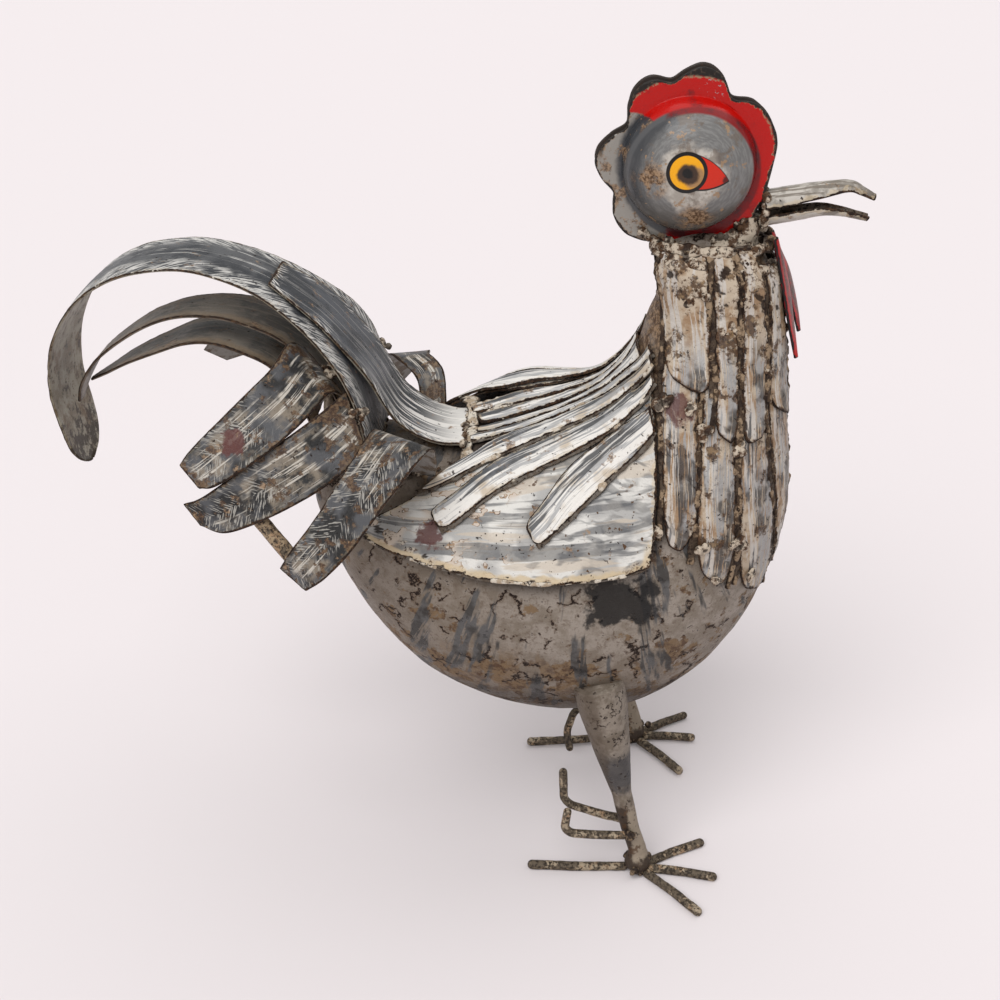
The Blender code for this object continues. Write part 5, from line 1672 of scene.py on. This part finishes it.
def weld_run(edge, side, lift, half, high, cover, seed, wander=0.4, length=0.008):
    """Outer and inner grid of a weld run along a seam of (turn, girth) points, and its relief.

    Across it is a half round; along it its height is a mask of noise, and where that is nothing the
    run lies sunk under the face of the sheets.
    """
    edge = np.array(edge, float) * [1, side]
    count = int(run_lengths(skin(*through(edge, 60).T))[-1] / WELD_STEP) + 2
    turn, girth = through(edge, count).T
    base = skin(turn, girth, lift(turn, girth) if callable(lift) else np.full(count, lift))
    way = unit(skin(turn, girth, 0.001) - skin(turn, girth, 0.0))
    beside = np.cross(way, unit(np.gradient(base, axis=0)))
    across = np.linspace(-1, 1, WELD_COLUMNS)
    shift = half * wander * lumps(base, 0.010, seed, 2)
    width = half * (0.75 + 0.5 * lumps(base, 0.006, seed + 1, 2))
    flat = base[:, None] + beside[:, None] * (shift[:, None] + width[:, None] * across)[..., None]
    present = between(lumps(base, length, seed + 2, 2), 0.36 - cover, 0.60 - cover)
    knobs = 0.70 + 0.65 * lumps(flat, 0.0034, seed + 4, 2)
    swell = present[:, None] * np.sqrt(np.clip(1 - across**2, 0, 1)) * knobs
    outer = flat + way[:, None] * (high * swell - WELD_SINK)[..., None]
    inner = flat - way[:, None] * (2 * WELD_SINK)
    return outer, inner, np.clip(2.2 * swell - 0.9, -1, 1)


def weld_runs(name, runs, finish, slot):
    """Many weld runs in one mesh, each closed like a slab."""
    vertices, faces, relief, used = [], [], [], 0
    for outer, inner, swell in runs:
        middle = (outer + inner) / 2
        made = slab_order(outer, inner, (middle[:, 0], middle[:, -1]), (middle[0], middle[-1]))
        low = swell[..., None] * 0 - 0.6
        relief.append(slab_order(swell[..., None], low, (low[:, 0], low[:, -1]), (low[0], low[-1]))[:, 0])
        vertices.append(made)
        faces.append(slab_faces(*outer.shape[:2]) + used)
        used += len(made)
    return put_piece(name, np.concatenate(vertices), np.concatenate(faces).tolist(), finish, slot,
                     relief=np.concatenate(relief))


def lumps_on_shell(spots, side, lift, draw):
    """Balls of weld heaped on spots given as (turn, girth, spread in metres): places, ways, sizes."""
    places, ways, sizes = [], [], []
    for turn, girth, spread in spots:
        base = skin(turn, girth * side, lift)
        way = unit(skin(turn, girth * side, 0.001) - skin(turn, girth * side, 0.0))
        loose = draw.normal(0, spread * 0.55, (7, 3))
        loose -= (loose @ way)[:, None] * way * 0.8
        places.append(base + loose)
        ways.append(np.broadcast_to(way, (7, 3)))
        sizes.append(draw.uniform(0.45, 0.85, 7) * spread)
    return np.concatenate(places), np.concatenate(ways), np.concatenate(sizes)


NECK_FACE = 2 * WELD_GAP + 2 * SHEET
COLLAR = [(1.5, 4), (1.0, 60), (1.0, 120), (1.5, 168)]
OVERLAY_FOOT = [(119.6, 150), (119.8, 165), (119.8, 179.5)]
# Lumps where strips of the neck end or cross: turn, girth, spread
NECK_LUMPS = [
    (74.5, 108, 0.0040), (67.1, 88.4, 0.0042), (61.7, 69.4, 0.0042), (60, 132, 0.0044),
    (54.6, 105, 0.0038), (51, 82.7, 0.0036), (54.6, 116.7, 0.0034), (27, 87.6, 0.0032),
    (22.7, 118, 0.0036), (8, 135, 0.0040), (4, 60.7, 0.0040), (67.3, 73, 0.0030),
    (62.7, 52.4, 0.0030), (15, 105, 0.0034), (34, 52, 0.0030),
]
# The plates' lower edges are welded along an arc of this radius about the head's middle
HEAD_WELD_RADIUS = 0.0442
HEAD_WELD_DROP = 0.0010
HEAD_WELD_Y = 0.0090
HEAD_BEADS = 30
FOOT_BEADS = 40
draw = np.random.default_rng(7)
for side, word in ((-1, "right"), (1, "left")):
    strips = WING_STRIPS if side < 0 else WING_STRIPS[:4]
    runs = []
    for number, (low, high) in enumerate(strips):
        lift = back_lift if number < STRIPS_ON_BACK else strip_lift
        runs.append(weld_run(low, side, on_top(lift), 0.0025, 0.0016, 0.16, 200 + 7 * number + side,
                             length=0.013))
    runs.append(weld_run(OVERLAY_FOOT, side, on_top(back_lift), 0.0062, 0.0014, 0.9, 280 + side))
    runs.append(weld_run(WING_LOW, side, on_top(wing_lift), 0.0016, 0.0013, 0.34, 260 + side))
    weld_runs(f"wing_welds_{word}", runs, WING_WELD, "feather_paint")
    runs = [weld_run(COLLAR, side, NECK_FACE + 0.0006, 0.0052, 0.0034, 0.80, 300 + side, 0.2),
            weld_run(np.array(COLLAR) + [5.0, 0], side, NECK_FACE, 0.0042, 0.0026, 0.45, 310 + side, 0.6)]
    weld_runs(f"neck_collar_{word}", runs, PALE_WELD, "neck_paint")
    runs = []
    for number, (low, high) in enumerate(NECK_STRIPS_UPPER + NECK_STRIPS_LOWER):
        face = NECK_FACE if number < 4 else WELD_GAP + SHEET
        for k, edge in enumerate((low, high)):
            seed = 320 + 11 * number + 5 * k + side
            runs.append(weld_run(edge, side, face, 0.0027, 0.0020, 0.46, seed, 0.6))
    weld_runs(f"neck_welds_{word}", runs, RUST_WELD, "neck_paint")
    places, ways, sizes = lumps_on_shell(NECK_LUMPS, side, NECK_FACE, draw)
    beads(f"neck_lumps_{word}", places, sizes, PALE_WELD, "neck_paint", 160 + side, squat=0.6, normals=ways)
    turn = np.radians(np.linspace(236, 314, HEAD_BEADS))
    arc = np.stack([HEAD_X + HEAD_WELD_RADIUS * np.cos(turn), np.full(HEAD_BEADS, side * HEAD_WELD_Y),
                    HEAD_Z - HEAD_WELD_DROP + HEAD_WELD_RADIUS * np.sin(turn)], -1)
    arc += draw.normal(0, 0.0007, arc.shape)
    beads(f"head_welds_{word}", arc, draw.uniform(0.0018, 0.0032, HEAD_BEADS), PALE_WELD, "neck_paint",
          170 + side)
    hub = np.array([FOOT_X, side * FOOT_Y, 0.007])
    scatter = draw.normal(0, 1, (FOOT_BEADS, 3)) * np.array([0.0042, 0.0042, 0.0032]) + hub
    scatter[:, 2] = np.clip(scatter[:, 2], 0.0034, 0.02)
    beads(f"foot_welds_{word}", scatter, draw.uniform(0.0018, 0.0032, FOOT_BEADS), DARK_WELD, "bar_steel",
          180 + side)

# Weld at the tail: before the overlay's foot, behind the back, along the saddle strips' roots, at the
# second coverts' roots, round the tail root and at the first right covert's root
SADDLE_ROOT = np.linspace((-0.028, 0.044, 0.2784), (-0.002, 0.036, 0.2790), 12)
root_line = [(0.0125, y, 0.2905) for y in np.linspace(-0.024, 0.024, 12)]
root_line += [(-0.040, y, 0.2890) for y in np.linspace(-0.046, 0.046, 22)]
for side in (-1, 1):
    root_line += [(x, side * y, z) for x, y, z in SADDLE_ROOT]
    root_line += [(-0.046 + draw.normal(0, 0.002), side * (0.053 + draw.normal(0, 0.003)), 0.322)
                  for _ in range(8)]
    root_line += [(-0.058 + draw.normal(0, 0.004), side * draw.uniform(0.010, 0.026),
                   0.300 + draw.normal(0, 0.006)) for _ in range(20)]
root_line += [(-0.066 + draw.normal(0, 0.003), -0.029 + draw.normal(0, 0.004), 0.338) for _ in range(12)]
beads("tail_welds", np.array(drawn(root_line)) + draw.normal(0, 0.0006, (len(root_line), 3)),
      draw.uniform(0.0014, 0.0030, len(root_line)), PALE_WELD, "belly_paint", 191)

# A heap of weld round each spur's root, which touches the shank
joints = [np.array([FOOT_X + x + 0.001, y, z]) + draw.normal(0, 1, (9, 3)) * [0.0018, 0.0008, 0.0012]
          for (x, y, z), *_ in SPURS.values()]
joints = np.concatenate(joints)
beads("spur_welds", joints, draw.uniform(0.0022, 0.0032, len(joints)), DARK_WELD, "bar_steel", 193)

WATTLE_ROOT = np.linspace((-0.001, 0.0060, -0.003), (0.0078, 0.0090, 0.0040), 9)
wattle_root = np.array([(THROAT_X + x, side * y, FAN_Z + z) for side in (-1, 1) for x, y, z in WATTLE_ROOT])
wattle_root += draw.normal(0, 0.0008, wattle_root.shape)
beads("wattle_welds", wattle_root, draw.uniform(0.0020, 0.0030, len(wattle_root)), RUST_WELD, "neck_paint",
      197)

# Rings of weld round the beak's roots: height from the head's middle and radius
BEAK_ROOTS = [(-0.0250, 0.0094), (-0.0290, 0.0074)]
BEAK_ROOT_AHEAD = 0.0440
beak_root = []
for height, depth in BEAK_ROOTS:
    turn = np.radians(np.linspace(-80, 260, 18))
    beak_root.append(np.stack([np.full(18, HEAD_X + BEAK_ROOT_AHEAD), depth * np.cos(turn),
                               HEAD_Z + height + depth * np.sin(turn)], -1))
beak_root = np.concatenate(beak_root)
beak_root += draw.normal(0, 0.0006, beak_root.shape)
beads("beak_welds", beak_root, draw.uniform(0.0015, 0.0026, len(beak_root)), PALE_WELD, "head_paint", 195)


# Floor, light and camera

FLOOR_REACH = 9.0
floor_mesh = bpy.data.meshes.new("floor")
floor_mesh.from_pydata([(-FLOOR_REACH, -FLOOR_REACH, 0), (FLOOR_REACH, -FLOOR_REACH, 0),
                        (FLOOR_REACH, FLOOR_REACH, 0), (-FLOOR_REACH, FLOOR_REACH, 0)], [], [(0, 1, 2, 3)])
floor = bpy.data.objects.new("floor", floor_mesh)
bpy.context.scene.collection.objects.link(floor)
floor_paint = bpy.data.materials.new("floor_paint")
floor_paint.use_nodes = True
floor_shader = floor_paint.node_tree.nodes["Principled BSDF"]
floor_shader.inputs["Base Color"].default_value = (0.720, 0.668, 0.676, 1)
floor_shader.inputs["Roughness"].default_value = 1.0
floor_shader.inputs["Specular IOR Level"].default_value = 0.0
floor_mesh.materials.append(floor_paint)

world = bpy.data.worlds.new("studio")
world.use_nodes = True
world.node_tree.nodes["Background"].inputs["Color"].default_value = (1.0, 1.0, 1.0, 1)
world.node_tree.nodes["Background"].inputs["Strength"].default_value = 0.50
bpy.context.scene.world = world


def far_light(name, place, spread, share):
    """Even light from the direction of place, spread over some degrees.

    On the floor it adds share to the brightness of a white sheet.
    """
    light = bpy.data.lights.new(name, "SUN")
    light.angle = radians(spread)
    x, y, z = unit(np.asarray(place, float))
    light.energy = share * np.pi / z
    lamp = bpy.data.objects.new(name, light)
    lamp.rotation_euler = (np.arccos(z), 0, np.arctan2(x, -y))
    bpy.context.scene.collection.objects.link(lamp)


far_light("key_light", (-0.40, -1.0, 1.35), 44, 0.52)
far_light("top_light", (0.30, 0.35, 1.6), 70, 0.26)

# The view solved from the photograph: 28.5 degrees down, 3.5 degrees toward the beak
lens = bpy.data.cameras.new("view")
lens.sensor_width = 36
lens.lens = 50.4
camera = bpy.data.objects.new("view", lens)
camera.location = (0.0777, -0.7782, 0.6628)
camera.rotation_euler = (radians(61.5), 0, radians(3.5))
bpy.context.scene.collection.objects.link(camera)
bpy.context.scene.camera = camera
# Plain colours on screen, as a product photograph has them
bpy.context.scene.view_settings.view_transform = "Standard"
